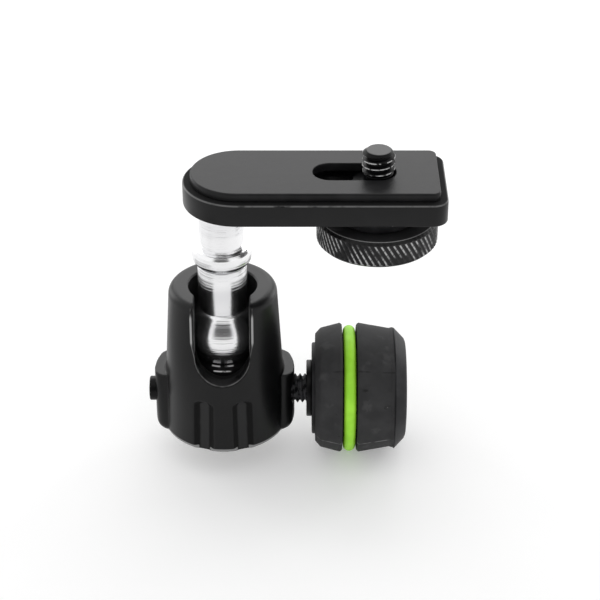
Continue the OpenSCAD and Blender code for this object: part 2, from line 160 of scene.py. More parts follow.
class Tree:
    """A node tree that is written as arithmetic, for geometry and for shaders."""

    def __init__(self, tree: bpy.types.NodeTree) -> None:
        """Wraps a node tree."""
        self.tree = tree

    def node(self, kind: str, **settings: object) -> bpy.types.Node:
        """Adds a node.

        Args:
            kind: Blender's type name.
            settings: properties to set on it.

        Returns:
            The node.
        """
        made = self.tree.nodes.new(kind)
        for key, value in settings.items():
            setattr(made, key, value)
        return made

    def feed(self, socket: bpy.types.NodeSocket, value: object) -> None:
        """Links a field or another node's socket to an input, or sets the input's own value.

        Args:
            socket: the input.
            value: what it gets.
        """
        source = value.socket if isinstance(value, Field) else value
        if isinstance(source, bpy.types.NodeSocket):
            self.tree.links.new(source, socket)
        else:
            socket.default_value = source

    def fill(self, node: bpy.types.Node, **inputs: object) -> bpy.types.Node:
        """Feeds a node's inputs.

        Args:
            node: the node.
            inputs: values by input name, with _ for a space.

        Returns:
            The node.
        """
        for key, value in inputs.items():
            self.feed(node.inputs[key.replace("_", " ")], value)
        return node

    def out(self, kind: str, **inputs: object) -> Field:
        """Adds a node with its inputs and gives its first output."""
        return Field(self, self.fill(self.node(kind), **inputs).outputs[0])

    def math(self, operation: str, *values: Value) -> Field:
        """Adds one Math node on the given values.

        Args:
            operation: Blender's name for it.
            values: its operands.

        Returns:
            The result.
        """
        made = self.node("ShaderNodeMath", operation=operation)
        for socket, value in zip(made.inputs, values):
            self.feed(socket, value)
        return Field(self, made.outputs[0])

    def larger(self, a: Value, b: Value) -> Field:
        """The larger of two values."""
        return self.math("MAXIMUM", a, b)

    def smaller(self, a: Value, b: Value) -> Field:
        """The smaller of two values."""
        return self.math("MINIMUM", a, b)

    def size(self, a: Field) -> Field:
        """A value without its sign."""
        return self.math("ABSOLUTE", a)

    def hypot(self, a: Field, b: Field) -> Field:
        """The length of a vector with two parts."""
        return self.math("SQRT", a * a + b * b)

    def wave(self, phase: Field) -> Field:
        """A sharp wave that is 1 at whole phases and 0 half way between."""
        return self.size(self.math("FRACT", phase) - 0.5) * 2.0

    def ramp(self, value: Field, start: Value, end: Value) -> Field:
        """Rises from 0 at start to 1 at end, in a smooth curve."""
        made = self.node("ShaderNodeMapRange", interpolation_type="SMOOTHSTEP")
        return Field(self, self.fill(made, Value=value, From_Min=start, From_Max=end).outputs[0])

    def mask(self, *parts: tuple[Field, Span]) -> Field:
        """The product of ramps, each over its own span."""
        return functools.reduce(lambda a, b: a * b, (self.ramp(value, *span) for value, span in parts))

    def noise(self, place: Field, scale: Value, detail: float = 2.0) -> Field:
        """A noise value from 0 to 1."""
        return self.out("ShaderNodeTexNoise", Vector=place, Scale=scale, Detail=detail)

    def meet(self, a: Field, b: Field, radius: float) -> Field:
        """Keeps what two solids share, with a rounded edge of the given radius."""
        inner = self.smaller(self.larger(a, b), -radius)
        return inner + self.hypot(self.larger(a + radius, 0.0), self.larger(b + radius, 0.0))

    def join(self, a: Field, b: Field, radius: float) -> Field:
        """Adds two solids, with a fillet of the given radius between them."""
        return -self.meet(-a, -b, radius)

    def split(self, vector: object) -> tuple[Field, Field, Field]:
        """The three parts of a vector."""
        made = self.fill(self.node("ShaderNodeSeparateXYZ"), Vector=vector)
        return tuple(Field(self, socket) for socket in made.outputs)

    def vector(self, x: Value, y: Value, z: Value) -> Field:
        """A vector from three parts."""
        return self.out("ShaderNodeCombineXYZ", X=x, Y=y, Z=z)

    def rays(self, *kinds: str) -> list[Field]:
        """Whether the ray is of each of some kinds."""
        path = self.node("ShaderNodeLightPath")
        return [Field(self, path.outputs[f"Is {kind} Ray"]) for kind in kinds]


class Rule(Tree):
    """A Geometry Nodes tree with named sizes in millimetres that ends as one plain mesh."""

    def __init__(self, name: str) -> None:
        """Starts the tree with its finish and its geometry sockets."""
        super().__init__(bpy.data.node_groups.new(name, "GeometryNodeTree"))
        face = self.tree.interface
        face.new_socket("Geometry", in_out="OUTPUT", socket_type="NodeSocketGeometry")
        face.new_socket("Geometry", in_out="INPUT", socket_type="NodeSocketGeometry")
        face.new_socket("Finish", in_out="INPUT", socket_type="NodeSocketMaterial")
        self.start = self.node("NodeGroupInput")
        self.end = self.node("NodeGroupOutput")
        self.sizes: dict[str, float] = {}

    def named(self, name: str, value: float) -> Field:
        """Adds a named input for one size."""
        self.tree.interface.new_socket(name, in_out="INPUT", socket_type="NodeSocketFloat")
        self.sizes[name] = float(value)
        return Field(self, self.start.outputs[name])

    def place(self) -> tuple[Field, Field, Field]:
        """The point that the rule is read at."""
        return self.split(self.node("GeometryNodeInputPosition").outputs[0])

    def moved(self, geometry: object, point: Field) -> Field:
        """Moves each point of a geometry to where a rule says."""
        return self.out("GeometryNodeSetPosition", Geometry=geometry, Position=point)

    def finished(self, name: str, geometry: Field, source: bpy.types.Mesh | None = None) -> bpy.types.Object:
        """Closes the tree and turns its result into a plain mesh.

        Args:
            name: the new object's name.
            geometry: the result, in millimetres.
            source: a mesh in millimetres that the tree starts from.

        Returns:
            An object with that mesh, in metres.
        """
        scaled = self.out("GeometryNodeTransform", Geometry=geometry, Scale=(MM, MM, MM))
        real = self.out("GeometryNodeRealizeInstances", Geometry=scaled)
        finish = self.start.outputs["Finish"]
        self.feed(self.end.inputs[0], self.out("GeometryNodeSetMaterial", Geometry=real, Material=finish))
        piece = placed(name, source or bpy.data.meshes.new(name + "_start"))
        layer = piece.modifiers.new("Rule", "NODES")
        layer.node_group = self.tree
        for item in self.tree.interface.items_tree:
            if item.in_out == "INPUT" and item.name in self.sizes:
                layer[item.identifier] = self.sizes[item.name]
        applied(piece, layer)
        piece.data.name = name
        return piece


# Plain mesh helpers


def placed(name: str, data: bpy.types.ID) -> bpy.types.Object:
    """Makes an object of some data and links it to the scene."""
    made = bpy.data.objects.new(name, data)
    bpy.context.collection.objects.link(made)
    return made


def applied(piece: bpy.types.Object, layer: bpy.types.Modifier) -> None:
    """Bakes a modifier into a piece's mesh.

    Args:
        piece: the object.
        layer: its only modifier.
    """
    view = bpy.context.evaluated_depsgraph_get()
    mesh = bpy.data.meshes.new_from_object(piece.evaluated_get(view), depsgraph=view)
    piece.modifiers.remove(layer)
    piece.data = mesh


def tidy(piece: bpy.types.Object, crease: float = 32.0, merge: float = 1e-6) -> bpy.types.Object:
    """Merges doubles, turns faces outwards and shades smooth up to a crease angle.

    Args:
        piece: a closed mesh object.
        crease: the angle in degrees past which an edge stays sharp.
        merge: how close two points are to be one, in metres.

    Returns:
        The same object.
    """
    work = bmesh.new()
    work.from_mesh(piece.data)
    bmesh.ops.remove_doubles(work, verts=work.verts, dist=merge)
    bmesh.ops.dissolve_degenerate(work, edges=work.edges, dist=merge / 10)
    bmesh.ops.recalc_face_normals(work, faces=work.faces)
    work.to_mesh(piece.data)
    work.free()
    piece.data.polygons.foreach_set("use_smooth", [True] * len(piece.data.polygons))
    piece.data.set_sharp_from_angle(angle=math.radians(crease))
    return piece


def mesh_of(name: str, points: np.ndarray, faces: Sequence[Sequence[int]]) -> bpy.types.Mesh:
    """Makes a mesh from its points and faces."""
    mesh = bpy.data.meshes.new(name)
    mesh.from_pydata(np.asarray(points).tolist(), [], [list(f) for f in faces])
    return mesh


def arc(radius: float, start: float, end: float, steps: int, a: float = 0.0, b: float = 0.0) -> list[Span]:
    """Points on an arc about a centre.

    Args:
        radius: the arc's radius.
        start: its first angle in radians.
        end: its last angle.
        steps: how many edges it has.
        a: the centre's first coordinate.
        b: the centre's second coordinate.

    Returns:
        The points in order.
    """
    angles = np.linspace(start, end, steps + 1)
    return [(a + radius * math.cos(angle), b + radius * math.sin(angle)) for angle in angles]


def soften(corners: Sequence[Triple], closed: bool = True, steps: int = 5) -> list[Span]:
    """Rounds the corners of an outline.

    Args:
        corners: (a, b, radius) for each corner, in order.
        closed: whether the last corner joins the first.
        steps: how many short edges each rounding has.

    Returns:
        The outline's points.
    """
    points: list[Span] = []
    count = len(corners)
    for i, (a, b, radius) in enumerate(corners):
        here = Vector((a, b))
        if radius <= 0 or (not closed and i in (0, count - 1)):
            points.append((a, b))
            continue
        back = Vector(corners[i - 1][:2]) - here
        ahead = Vector(corners[(i + 1) % count][:2]) - here
        half = back.angle(ahead) / 2
        reach = min(radius / math.tan(half), back.length * SIDE_SHARE, ahead.length * SIDE_SHARE)
        radius = reach * math.tan(half)
        hub = here + (back.normalized() + ahead.normalized()).normalized() * (radius / math.sin(half))
        start = here + back.normalized() * reach - hub
        end = here + ahead.normalized() * reach - hub
        first = math.atan2(start.y, start.x)
        sweep = math.atan2(start.x * end.y - start.y * end.x, start.dot(end))
        points += arc(radius, first, first + sweep, steps, *hub)
    return points


def lathe_points(outline: Sequence[Span], axis: Axis, centre: Vector, segments: int) -> np.ndarray:
    """Points of a turned surface, ring after ring.

    Args:
        outline: (radius, distance along the axis) for each ring.
        axis: the way the axis points.
        centre: a point on the axis.
        segments: points in a ring.

    Returns:
        An array of points in millimetres.
    """
    angle = np.linspace(0, TURN, segments, endpoint=False)
    radius = np.array([p[0] for p in outline])[:, None]
    along = np.array([p[1] for p in outline])[:, None] + 0 * angle
    a, b = radius * np.cos(angle), radius * np.sin(angle)
    up = [centre.x + a, centre.y + b, along]
    across = [along, centre.y + a, centre.z + b]
    return np.stack(up if axis is Axis.UP else across, -1).reshape(-1, 3)


def ring_faces(rings: int, segments: int, closed: bool) -> list[tuple[int, int, int, int]]:
    """Faces that join each ring of points to the next.

    Args:
        rings: how many rings there are.
        segments: points in a ring.
        closed: whether the last ring joins the first.

    Returns:
        Four point numbers for each face.
    """
    faces = []
    for i in range(rings if closed else rings - 1):
        low, high = i * segments, (i + 1) % rings * segments
        for j in range(segments):
            k = (j + 1) % segments
            faces.append((low + j, low + k, high + k, high + j))
    return faces


def turned(
    name: str, corners: Sequence[Triple], axis: Axis = Axis.UP, centre: Vector = ORIGIN,
    segments: int = 128, crease: float = 32.0, steps: int = 5,
) -> bpy.types.Object:
    """Turns a rounded outline into a solid.

    Args:
        name: the object's name.
        corners: (radius, distance along the axis, rounding); a solid piece starts and ends on the axis.
        axis: the way the axis points.
        centre: a point on the axis.
        segments: points in a ring.
        crease: the angle past which an edge stays sharp.
        steps: short edges in each rounding.

    Returns:
        The object.
    """
    solid = corners[0][0] == 0 and corners[-1][0] == 0
    outline = soften(corners, closed=not solid, steps=steps)
    points = lathe_points(outline, axis, centre, segments) * MM
    return tidy(placed(name, mesh_of(name, points, ring_faces(len(outline), segments, not solid))), crease)


def plug(radius: float, low: float, high: float, rounding: Span = (0, 0)) -> list[Triple]:
    """The outline of a plain cylinder, with a rounding at its low and at its high end."""
    return [(0, low, 0), (radius, low, rounding[0]), (radius, high, rounding[1]), (0, high, 0)]


def cut(piece: bpy.types.Object, *cutters: bpy.types.Object, crease: float = 32.0) -> bpy.types.Object:
    """Cuts other solids out of a piece and removes them from the scene.

    Args:
        piece: the object that is cut.
        cutters: the solids that go.
        crease: the angle past which an edge stays sharp.

    Returns:
        The piece.
    """
    for cutter in cutters:
        layer = piece.modifiers.new("Cut", "BOOLEAN")
        layer.operation, layer.solver, layer.object = "DIFFERENCE", "EXACT", cutter
        applied(piece, layer)
        bpy.data.objects.remove(cutter)
    return tidy(piece, crease, CUT_MERGE)


def joined(piece: bpy.types.Object, *others: bpy.types.Object) -> bpy.types.Object:
    """Adds the meshes of other objects to a piece, as separate shells of it.

    Args:
        piece: the object that is kept.
        others: the objects that it takes in.

    Returns:
        The piece.
    """
    work = bmesh.new()
    for part in (piece, *others):
        work.from_mesh(part.data)
    work.to_mesh(piece.data)
    work.free()
    for part in others:
        bpy.data.objects.remove(part)
    return piece


def coat_mesh(mesh: bpy.types.Mesh, finish: "Finish") -> None:
    """Gives a mesh one finish."""
    mesh.materials.clear()
    mesh.materials.append(finished_material(finish))


def mount(piece: bpy.types.Object, body: str, slot: str, node: str, finish: "Finish | None" = None) -> None:
    """Dresses a finished piece and lets it ride on a CAD body.

    Args:
        piece: the finished object.
        body: the CAD body that carries it.
        slot: the record's material slot.
        node: the CAD node that it stands for.
        finish: a finish of its own, in place of the slot's.
    """
    coat_mesh(piece.data, finish or FINISHES[slot])
    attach(piece, body)
    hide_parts(node)
    log.info("%s: %d faces on %s", piece.name, len(piece.data.polygons), body)


def dress(node: str, finish: "Finish") -> None:
    """Gives a CAD node that keeps its own shape a finish."""
    coat_mesh(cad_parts[node].data, finish)
    log.info("%s keeps its CAD shape", node)


# Shared shader effects


def srgb(red: int, green: int, blue: int) -> Colour:
    """A colour from screen values of 0 to 255."""
    parts = [c / 255 for c in (red, green, blue)]
    return (*[p / 12.92 if p <= 0.04045 else ((p + 0.055) / 1.055) ** 2.4 for p in parts], 1.0)


def grey(level: float) -> Colour:
    """A neutral colour that reflects the given share of the light."""
    return (level, level, level, 1.0)


class Effect(Tree):
    """A shader node group that several finishes use."""

    def __init__(self, name: str, inputs: dict[str, float], outputs: Sequence[str]) -> None:
        """Makes the group with its named sockets."""
        super().__init__(bpy.data.node_groups.new(name, "ShaderNodeTree"))
        face = self.tree.interface
        for output in outputs:
            face.new_socket(output, in_out="OUTPUT", socket_type="NodeSocketFloat")
        face.new_socket("Place", in_out="INPUT", socket_type="NodeSocketVector")
        for key, value in inputs.items():
            face.new_socket(key, in_out="INPUT", socket_type="NodeSocketFloat").default_value = value
        self.start = self.node("NodeGroupInput")
        self.end = self.node("NodeGroupOutput")

    def given(self, name: str) -> Field:
        """One of the group's inputs."""
        return Field(self, self.start.outputs[name])

    def give(self, name: str, value: Field) -> None:
        """Sends a value out of the group."""
        self.feed(self.end.inputs[name], value)


@functools.cache
def grain_effect() -> bpy.types.NodeTree:
    """Fine grain with slow patches: Height for a bump and Patch for colour and roughness."""
    made = Effect("Grain", {"Scale": 2500.0, "Patch scale": 160.0}, ("Height", "Patch"))
    place = made.given("Place")
    made.give("Height", made.noise(place, made.given("Scale"), 4.0))
    made.give("Patch", made.noise(place, made.given("Patch scale"), 3.0))
    return made.tree


@functools.cache
def speck_effect() -> bpy.types.NodeTree:
    """Sparse tiny specks of dust and nicks, as a mask."""
    made = Effect("Specks", {"Scale": 700.0, "Size": 0.1, "Share": 0.12}, ("Mask",))
    cells = made.node("ShaderNodeTexVoronoi")
    made.fill(cells, Vector=made.given("Place"), Scale=made.given("Scale"), Randomness=1.0)
    chosen, _, _ = made.split(cells.outputs["Color"])
    edge = made.given("Size") * chosen / made.given("Share")
    close = made.math("LESS_THAN", Field(made, cells.outputs["Distance"]), edge)
    made.give("Mask", close * made.math("LESS_THAN", chosen, made.given("Share")))
    return made.tree


@functools.cache
def turning_effect() -> bpy.types.NodeTree:
    """Fine rings that a lathe tool leaves round the Z axis, and slower bands of them."""
    made = Effect("TurningRings", {"Scale": 3000.0, "Band share": 0.12}, ("Height", "Band"))
    x, y, z = made.split(made.given("Place"))
    across, along = made.hypot(x, y) * made.given("Scale"), z * made.given("Scale")
    share = made.given("Band share")
    made.give("Height", made.noise(made.vector(across, 0.0, along), 1.0))
    made.give("Band", made.noise(made.vector(across * share, 0.0, along * share), 1.0, 1.0))
    return made.tree


# Finishes


class Coat(Tree):
    """A material round one Principled shader, with the colour and roughness that its layers leave."""

    def __init__(self, name: str, metallic: float = 0.0, specular: float = 0.0) -> None:
        """Makes the material and reads its place."""
        self.material = bpy.data.materials.new(name)
        self.material.use_nodes = True
        super().__init__(self.material.node_tree)
        self.shader = self.tree.nodes["Principled BSDF"]
        self.fill(self.shader, Metallic=metallic, Specular_IOR_Level=specular)
        self.place = Field(self, self.node("ShaderNodeTexCoord").outputs["Object"])
        self.colour: Value = 0.0
        self.rough: Value = 1.0

    def point(self) -> tuple[Field, Field, Field]:
        """The three coordinates in millimetres."""
        return tuple(part * PER_MM for part in self.split(self.place))

    def shared(self, group: bpy.types.NodeTree, **values: float) -> bpy.types.Node:
        """Places a shared effect with this material's own values."""
        return self.fill(self.node("ShaderNodeGroup", node_tree=group), Place=self.place, **values)

    def blend(self, share: Field, first: object, second: object) -> Field:
        """Mixes two colours."""
        made = self.fill(self.node("ShaderNodeMix", data_type="RGBA"), Factor=share)
        self.feed(made.inputs[6], first)
        self.feed(made.inputs[7], second)
        return Field(self, made.outputs[2])

    def paint(self, mask: Field, tone: Colour) -> None:
        """Lays a tone over the colour where a mask is 1."""
        self.colour = self.blend(mask, self.colour, tone)

    def patches(self, scale: float, span: Span, detail: float = 2.0) -> Field:
        """A mask of uneven patches, from noise between two levels."""
        return self.ramp(self.noise(self.place, scale, detail), *span)

    def bump(self, height: object, depth: float, distance: float, **under: Field) -> Field:
        """Adds a bump to the shader's normal.

        Args:
            height: the relief.
            depth: the bump's strength.
            distance: how deep the relief is, in metres.
            under: Normal, where this bump lies over another one.

        Returns:
            The normal.
        """
        normal = self.out("ShaderNodeBump", Strength=depth, Distance=distance, Height=height, **under)
        self.feed(self.shader.inputs["Normal"], normal)
        return normal

    def closed(self) -> bpy.types.Material:
        """Feeds the colour and the roughness to the shader and gives the material."""
        self.fill(self.shader, Base_Color=self.colour, Roughness=self.rough)
        return self.material


@dataclass(frozen=True)
class Finish:
    """A finish of moulded, cast or painted material, with grain, patches and specks."""

    name: str
    tone: Colour
    worn: Colour
    roughness: float
    patchiness: float = 0.1
    specular: float = 0.2
    grain_scale: float = 3000.0
    grain_depth: float = 0.1
    grain_height: float = 0.0001
    patch_scale: float = 160.0
    patch_span: Span = (0.35, 0.7)
    speck_share: float = 0.0
    speck_tone: Colour = grey(0.3)
    metallic: float = 0.0

    def ground(self, coat: Coat) -> None:
        """Lays the plain finish: colour, roughness and grain.

        Args:
            coat: the material in the making.
        """
        grain = coat.shared(grain_effect(), Scale=self.grain_scale, Patch_scale=self.patch_scale)
        patch = Field(coat, grain.outputs["Patch"])
        coat.colour = coat.blend(coat.ramp(patch, *self.patch_span), self.tone, self.worn)
        if self.speck_share:
            specks = coat.shared(speck_effect(), Share=self.speck_share)
            coat.paint(Field(coat, specks.outputs["Mask"]), self.speck_tone)
        coat.rough = patch * self.patchiness + (self.roughness - self.patchiness / 2)
        coat.bump(grain.outputs["Height"], self.grain_depth, self.grain_height)

    def wear(self, coat: Coat) -> None:
        """Adds wear over the plain finish. A plain finish has none."""

    def material(self) -> bpy.types.Material:
        """Builds the material."""
        coat = Coat(self.name, self.metallic, self.specular)
        self.ground(coat)
        self.wear(coat)
        return coat.closed()


@functools.cache
def finished_material(finish: Finish) -> bpy.types.Material:
    """A finish's material, built once."""
    return finish.material()


@dataclass(frozen=True)
class TurnedMetal(Finish):
    """Metal with the rings of a lathe round the Z axis."""

    specular: float = 0.5
    grain_height: float = 0.00002
    metallic: float = 1.0
    patch_span: Span = (0.3, 0.7)
    ring_scale: float = 3000.0
    ring_depth: float = 0.08
    ring_height: float = 0.00003

    def ground(self, coat: Coat) -> None:
        """Lays the rings over fine grain.

        Args:
            coat: the material in the making.
        """
        grain = coat.shared(grain_effect(), Scale=self.grain_scale, Patch_scale=self.patch_scale)
        rings = coat.shared(turning_effect(), Scale=self.ring_scale)
        band, patch = Field(coat, rings.outputs["Band"]), Field(coat, grain.outputs["Patch"])
        coat.colour = coat.blend(coat.ramp(band, *self.patch_span), self.tone, self.worn)
        coat.rough = (band + patch) * self.patchiness + (self.roughness - self.patchiness)
        under = coat.bump(grain.outputs["Height"], self.grain_depth, self.grain_height)
        coat.bump(rings.outputs["Height"], self.ring_depth, self.ring_height, Normal=under)


@dataclass(frozen=True)
class Blackened(Finish):
    """Fine-grained blackened steel."""

    roughness: float = 0.34
    patchiness: float = 0.08
    grain_scale: float = 5000.0
    grain_depth: float = 0.08
    patch_scale: float = 400.0


@dataclass(frozen=True)
class ThreadWearAndGlint(Blackened):
    """Blackened steel with bright worn patches, which can be kept to the crests, where they are painted
    glints as well as wear, and a top face at the tip that can be painted lighter as a painted highlight.
    Sizes are in millimetres.
    """

    centre_x: float = 0.0
    crest_from: Span | None = None
    tip: float | None = None
    tip_rise: float = 0.04
    # Tones: the tip's painted highlight, and the bright patches, which on the crests stand for painted glints
    # as well as wear.
    tip_highlight: Colour = grey(0.1)
    bright: Colour = grey(0.3)
    patch_size: float = 900.0
    uneven_span: Span = (0.4, 0.55)

    def wear(self, coat: Coat) -> None:
        """Lays the tip's painted highlight and the bright patches, which may be kept to the crests as painted
        glints on worn crests.

        Args:
            coat: the material in the making.
        """
        x, y, z = coat.point()
        worn = coat.patches(self.patch_size, self.uneven_span)
        if self.crest_from:
            worn = worn * coat.ramp(coat.hypot(x - self.centre_x, y), *self.crest_from)
        if self.tip is not None:
            # Painted highlight: the top face at the tip is painted lighter.
            coat.paint(coat.ramp(z, self.tip - self.tip_rise, self.tip), self.tip_highlight)
        # Worn patches; kept to the crests they also stand for painted glints.
        coat.paint(worn, self.bright)


@dataclass(frozen=True)
class CastingFinish(Finish):
    """Satin black casting with painted highlight lines along the slot edges, a painted highlight on the foot
    chamfer, painted shade on the flute walls and in the socket, and flute beds painted lighter.

    Spans are (where the mask is 0, where it is 1) in millimetres: along z, by depth under the skin,
    or by distance from the slot.
    """

    cone: Cone = Cone()
    front: Span = (-7.0, -8.5)
    patch_size: float = 380.0
    uneven_span: Span = (0.3, 0.6)
    lip_shift: float = 0.04
    line: Span = (0.13, 0.05)
    line_glint: Span = (0.12, 0.08)
    line_skin: Span = (-0.5, -0.3)
    glint_low: Span = (23.2, 24.6)
    glint_high: Span = (31.4, 29.6)
    inner_shift: float = 0.02
    inner_line: Span = (0.14, 0.06)
    inner_skin: Span = (-0.9, -0.7)
    inner_low: Span = (21.5, 23.0)
    inner_share: float = 0.5
    socket_skin: Span = (-2.4, -3.0)
    socket_high: Span = (31.9, 31.5)
    foot_high: Span = (1.0, 0.8)
    foot_skin: Span = (-0.62, -0.55)
    foot_outside: Span = (0.1, 0.05)
    flute_low: Span = (0.45, 0.6)
    flute_high: Span = (11.8, 11.6)
    flute_skin: Span = (-0.04, -0.1)
    flute_bed: Span = (-0.6, -0.69)
    flute_end: Span = (-1.1, -1.0)
    wall_rough: float = 0.5
    socket_rough: float = 0.35
    # Tones: painted highlights for the slot edges, their glint and the foot chamfer; painted shade for the
    # flute walls and the socket; painted light for the flute beds.
    highlight_and_wear: Colour = grey(0.13)
    glint: Colour = grey(0.36)
    foot_highlight: Colour = grey(0.26)
    painted_shade: Colour = (0.0015, 0.0015, 0.0016, 1.0)
    bed_painted_light: Colour = (0.013, 0.013, 0.0135, 1.0)

    def slot_edges(self, coat: Coat, x: Field, y: Field, z: Field, skin: Field) -> tuple[Field, Field]:
        """Masks of the painted highlight lines along the drop slot's edges, broken up in patches, and of the
        brighter painted glint on them.

        Args:
            coat: the material in the making.
            x: the place across.
            y: the place to the rear.
            z: the height.
            skin: how far the place lies outside the cone.

        Returns:
            The painted highlight mask and the painted glint mask.
        """
        # Painted highlight: a line on the lip's edge and a fainter one on the slot's inner edge.
        away, front = self.cone.away(coat, x, z), coat.ramp(y, *self.front)
        side = coat.mask((z, self.glint_low), (z, self.glint_high))
        ends = [side * wider + plain for plain, wider in zip(self.line, self.line_glint)]
        from_lip = coat.size(away - self.lip_shift - self.cone.lip(coat, z))
        edge = coat.mask((from_lip, ends), (skin, self.line_skin)) * front
        edge = edge * coat.larger(coat.patches(self.patch_size, self.uneven_span), side)
        from_slot = coat.size(away - self.inner_shift)
        inner = coat.mask((from_slot, self.inner_line), (skin, self.inner_skin), (z, self.inner_low))
        return coat.larger(edge, inner * front * self.inner_share), edge * side

    def wear(self, coat: Coat) -> None:
        """Lays painted shade on the flute walls and in the socket, painted light on the flute beds, and
        painted highlights on the slot's edges and the foot's chamfer.

        Args:
            coat: the material in the making.
        """
        x, y, z = coat.point()
        skin = coat.hypot(x, y) - self.cone.foot_r + z * self.cone.taper
        flute = coat.mask((z, self.flute_low), (z, self.flute_high), (skin, self.flute_skin))
        wall = flute * coat.ramp(skin, *reversed(self.flute_bed))
        bed = flute * coat.mask((skin, self.flute_bed), (skin, self.flute_end))
        socket = coat.mask((skin, self.socket_skin), (z, self.socket_high))
        foot = coat.mask((z, self.foot_high), (skin, self.foot_skin), (skin, self.foot_outside))
        highlight_and_wear, glint = self.slot_edges(coat, x, y, z, skin)
        # Painted light on the flute beds; painted shade on the flute walls and inside the socket.
        coat.paint(bed, self.bed_painted_light)
        coat.paint(wall, self.painted_shade)
        coat.paint(socket, self.painted_shade)
        # Painted highlight lines along the slot's edges, with a brighter painted glint on them.
        coat.paint(highlight_and_wear, self.highlight_and_wear)
        coat.paint(glint, self.glint)
        # Painted highlight along the foot's chamfer.
        coat.paint(foot, self.foot_highlight)
        coat.rough = coat.rough + wall * self.wall_rough + socket * self.socket_rough


@dataclass(frozen=True)
class EdgedFinish(Finish):
    """A coating with a painted highlight along a flat face's edge, broken up in patches, and duller on the
    face. Sizes in millimetres.
    """

    top: float = 0.0
    edge_low: Span = (-0.32, -0.24)
    edge_high: Span = (-0.02, -0.06)
    face: Span = (-0.02, 0.0)
    face_rough: float = 0.5
    patch_size: float = 500.0
    uneven_span: Span = (0.2, 0.5)
    # The painted highlight's tone.
    highlight_and_wear: Colour = grey(0.12)

    def wear(self, coat: Coat) -> None:
        """Lays the painted highlight along the edge and dulls the face.

        Args:
            coat: the material in the making.
        """
        up = coat.point()[2] - self.top
        edge = coat.mask((up, self.edge_low), (up, self.edge_high))
        # Painted highlight: a lighter band just below the top face's edge.
        coat.paint(edge * coat.patches(self.patch_size, self.uneven_span), self.highlight_and_wear)
        coat.rough = coat.rough + coat.ramp(up, *self.face) * self.face_rough


@dataclass(frozen=True)
class KnurledFinish(Blackened):
    """A blackened wheel: top face painted lighter as painted light, chamfer painted dark as painted shade,
    worn knurl crests painted bright as glints, and a painted highlight round the face's rim. Sizes are in
    millimetres.
    """

    centre_x: float = 0.0
    radius: float = 10.0
    top: float = 0.0
    chamfer: float = 0.5
    depth: float = 0.3
    flat: Span = (-0.06, -0.02)
    bevel_low: Span = (-1.5, -1.1)
    bevel_high: Span = (-0.02, -0.12)
    rim: Span = (-0.25, -0.1)
    rim_share: float = 0.5
    worn_depth: float = 0.45
    worn_end: float = 0.02
    patch_size: float = 260.0
    uneven_span: Span = (0.38, 0.56)
    # Tones: painted light for the face, painted shade for the chamfer, and painted glints for the crests and
    # the face's rim.
    face: Colour = (0.03, 0.03, 0.031, 1.0)
    dark: Colour = grey(0.003)
    crest: Colour = grey(0.55)

    def wear(self, coat: Coat) -> None:
        """Lays the worn crests with painted glints, the chamfer's painted shade, the face's painted light and
        the painted highlight on its rim.

        Args:
            coat: the material in the making.
        """
        x, y, z = coat.point()
        up, out = z - self.top, coat.hypot(x - self.centre_x, y) - self.radius
        bevel = coat.mask((up / self.chamfer, self.bevel_low), (up, self.bevel_high))
        crests = coat.ramp(out, -self.depth * self.worn_depth, -self.worn_end)
        # Worn crests painted bright as glints, painted shade on the chamfer, painted light on the face and a
        # painted highlight round its rim.
        coat.paint(crests * coat.patches(self.patch_size, self.uneven_span, 3.0), self.crest)
        coat.paint(bevel, self.dark)
        coat.paint(coat.ramp(up, *self.flat), self.face)
        coat.paint(coat.mask((up, self.flat), (out + self.chamfer, self.rim)) * self.rim_share, self.crest)


@dataclass(frozen=True)
class CupRimHighlight(Finish):
    """Dark nylon with painted highlights in two short arcs at the cup's rim. Sizes are in millimetres."""

    rim_z: float = 0.0
    shift: float = 0.1
    top: Span = (-0.03, -0.01)
    arc_r: float = 6.1
    arc_width: Span = (0.35, 0.2)
    arc_ends: Span = (2.3, 2.0)
    arc_middle: Span = (0.3, 0.7)
    edge_z: float = 0.3
    edge_width: Span = (0.2, 0.12)
    edge_ends: Span = (1.9, 1.6)
    front: Span = (-4.0, -5.0)
    patch_size: float = 700.0
    uneven_span: Span = (0.3, 0.45)
    # The painted highlight's tone.
    bright: Colour = grey(0.9)

    def wear(self, coat: Coat) -> None:
        """Lays the painted highlight arcs on the rim's top and on its inner edge.

        Args:
            coat: the material in the making.
        """
        x, y, z = coat.point()
        across, up = coat.size(x + self.shift), z - self.rim_z
        from_arc = coat.size(coat.hypot(x, y) - self.arc_r)
        ends = (across, self.arc_ends), (across, self.arc_middle)
        top = coat.mask((up, self.top), (from_arc, self.arc_width), *ends)
        edge = coat.mask((coat.size(up + self.edge_z), self.edge_width), (across, self.edge_ends))
        arcs = coat.larger(top, edge) * coat.ramp(y, *self.front)
        # Painted highlight arcs, broken up in patches.
        coat.paint(arcs * coat.patches(self.patch_size, self.uneven_span), self.bright)


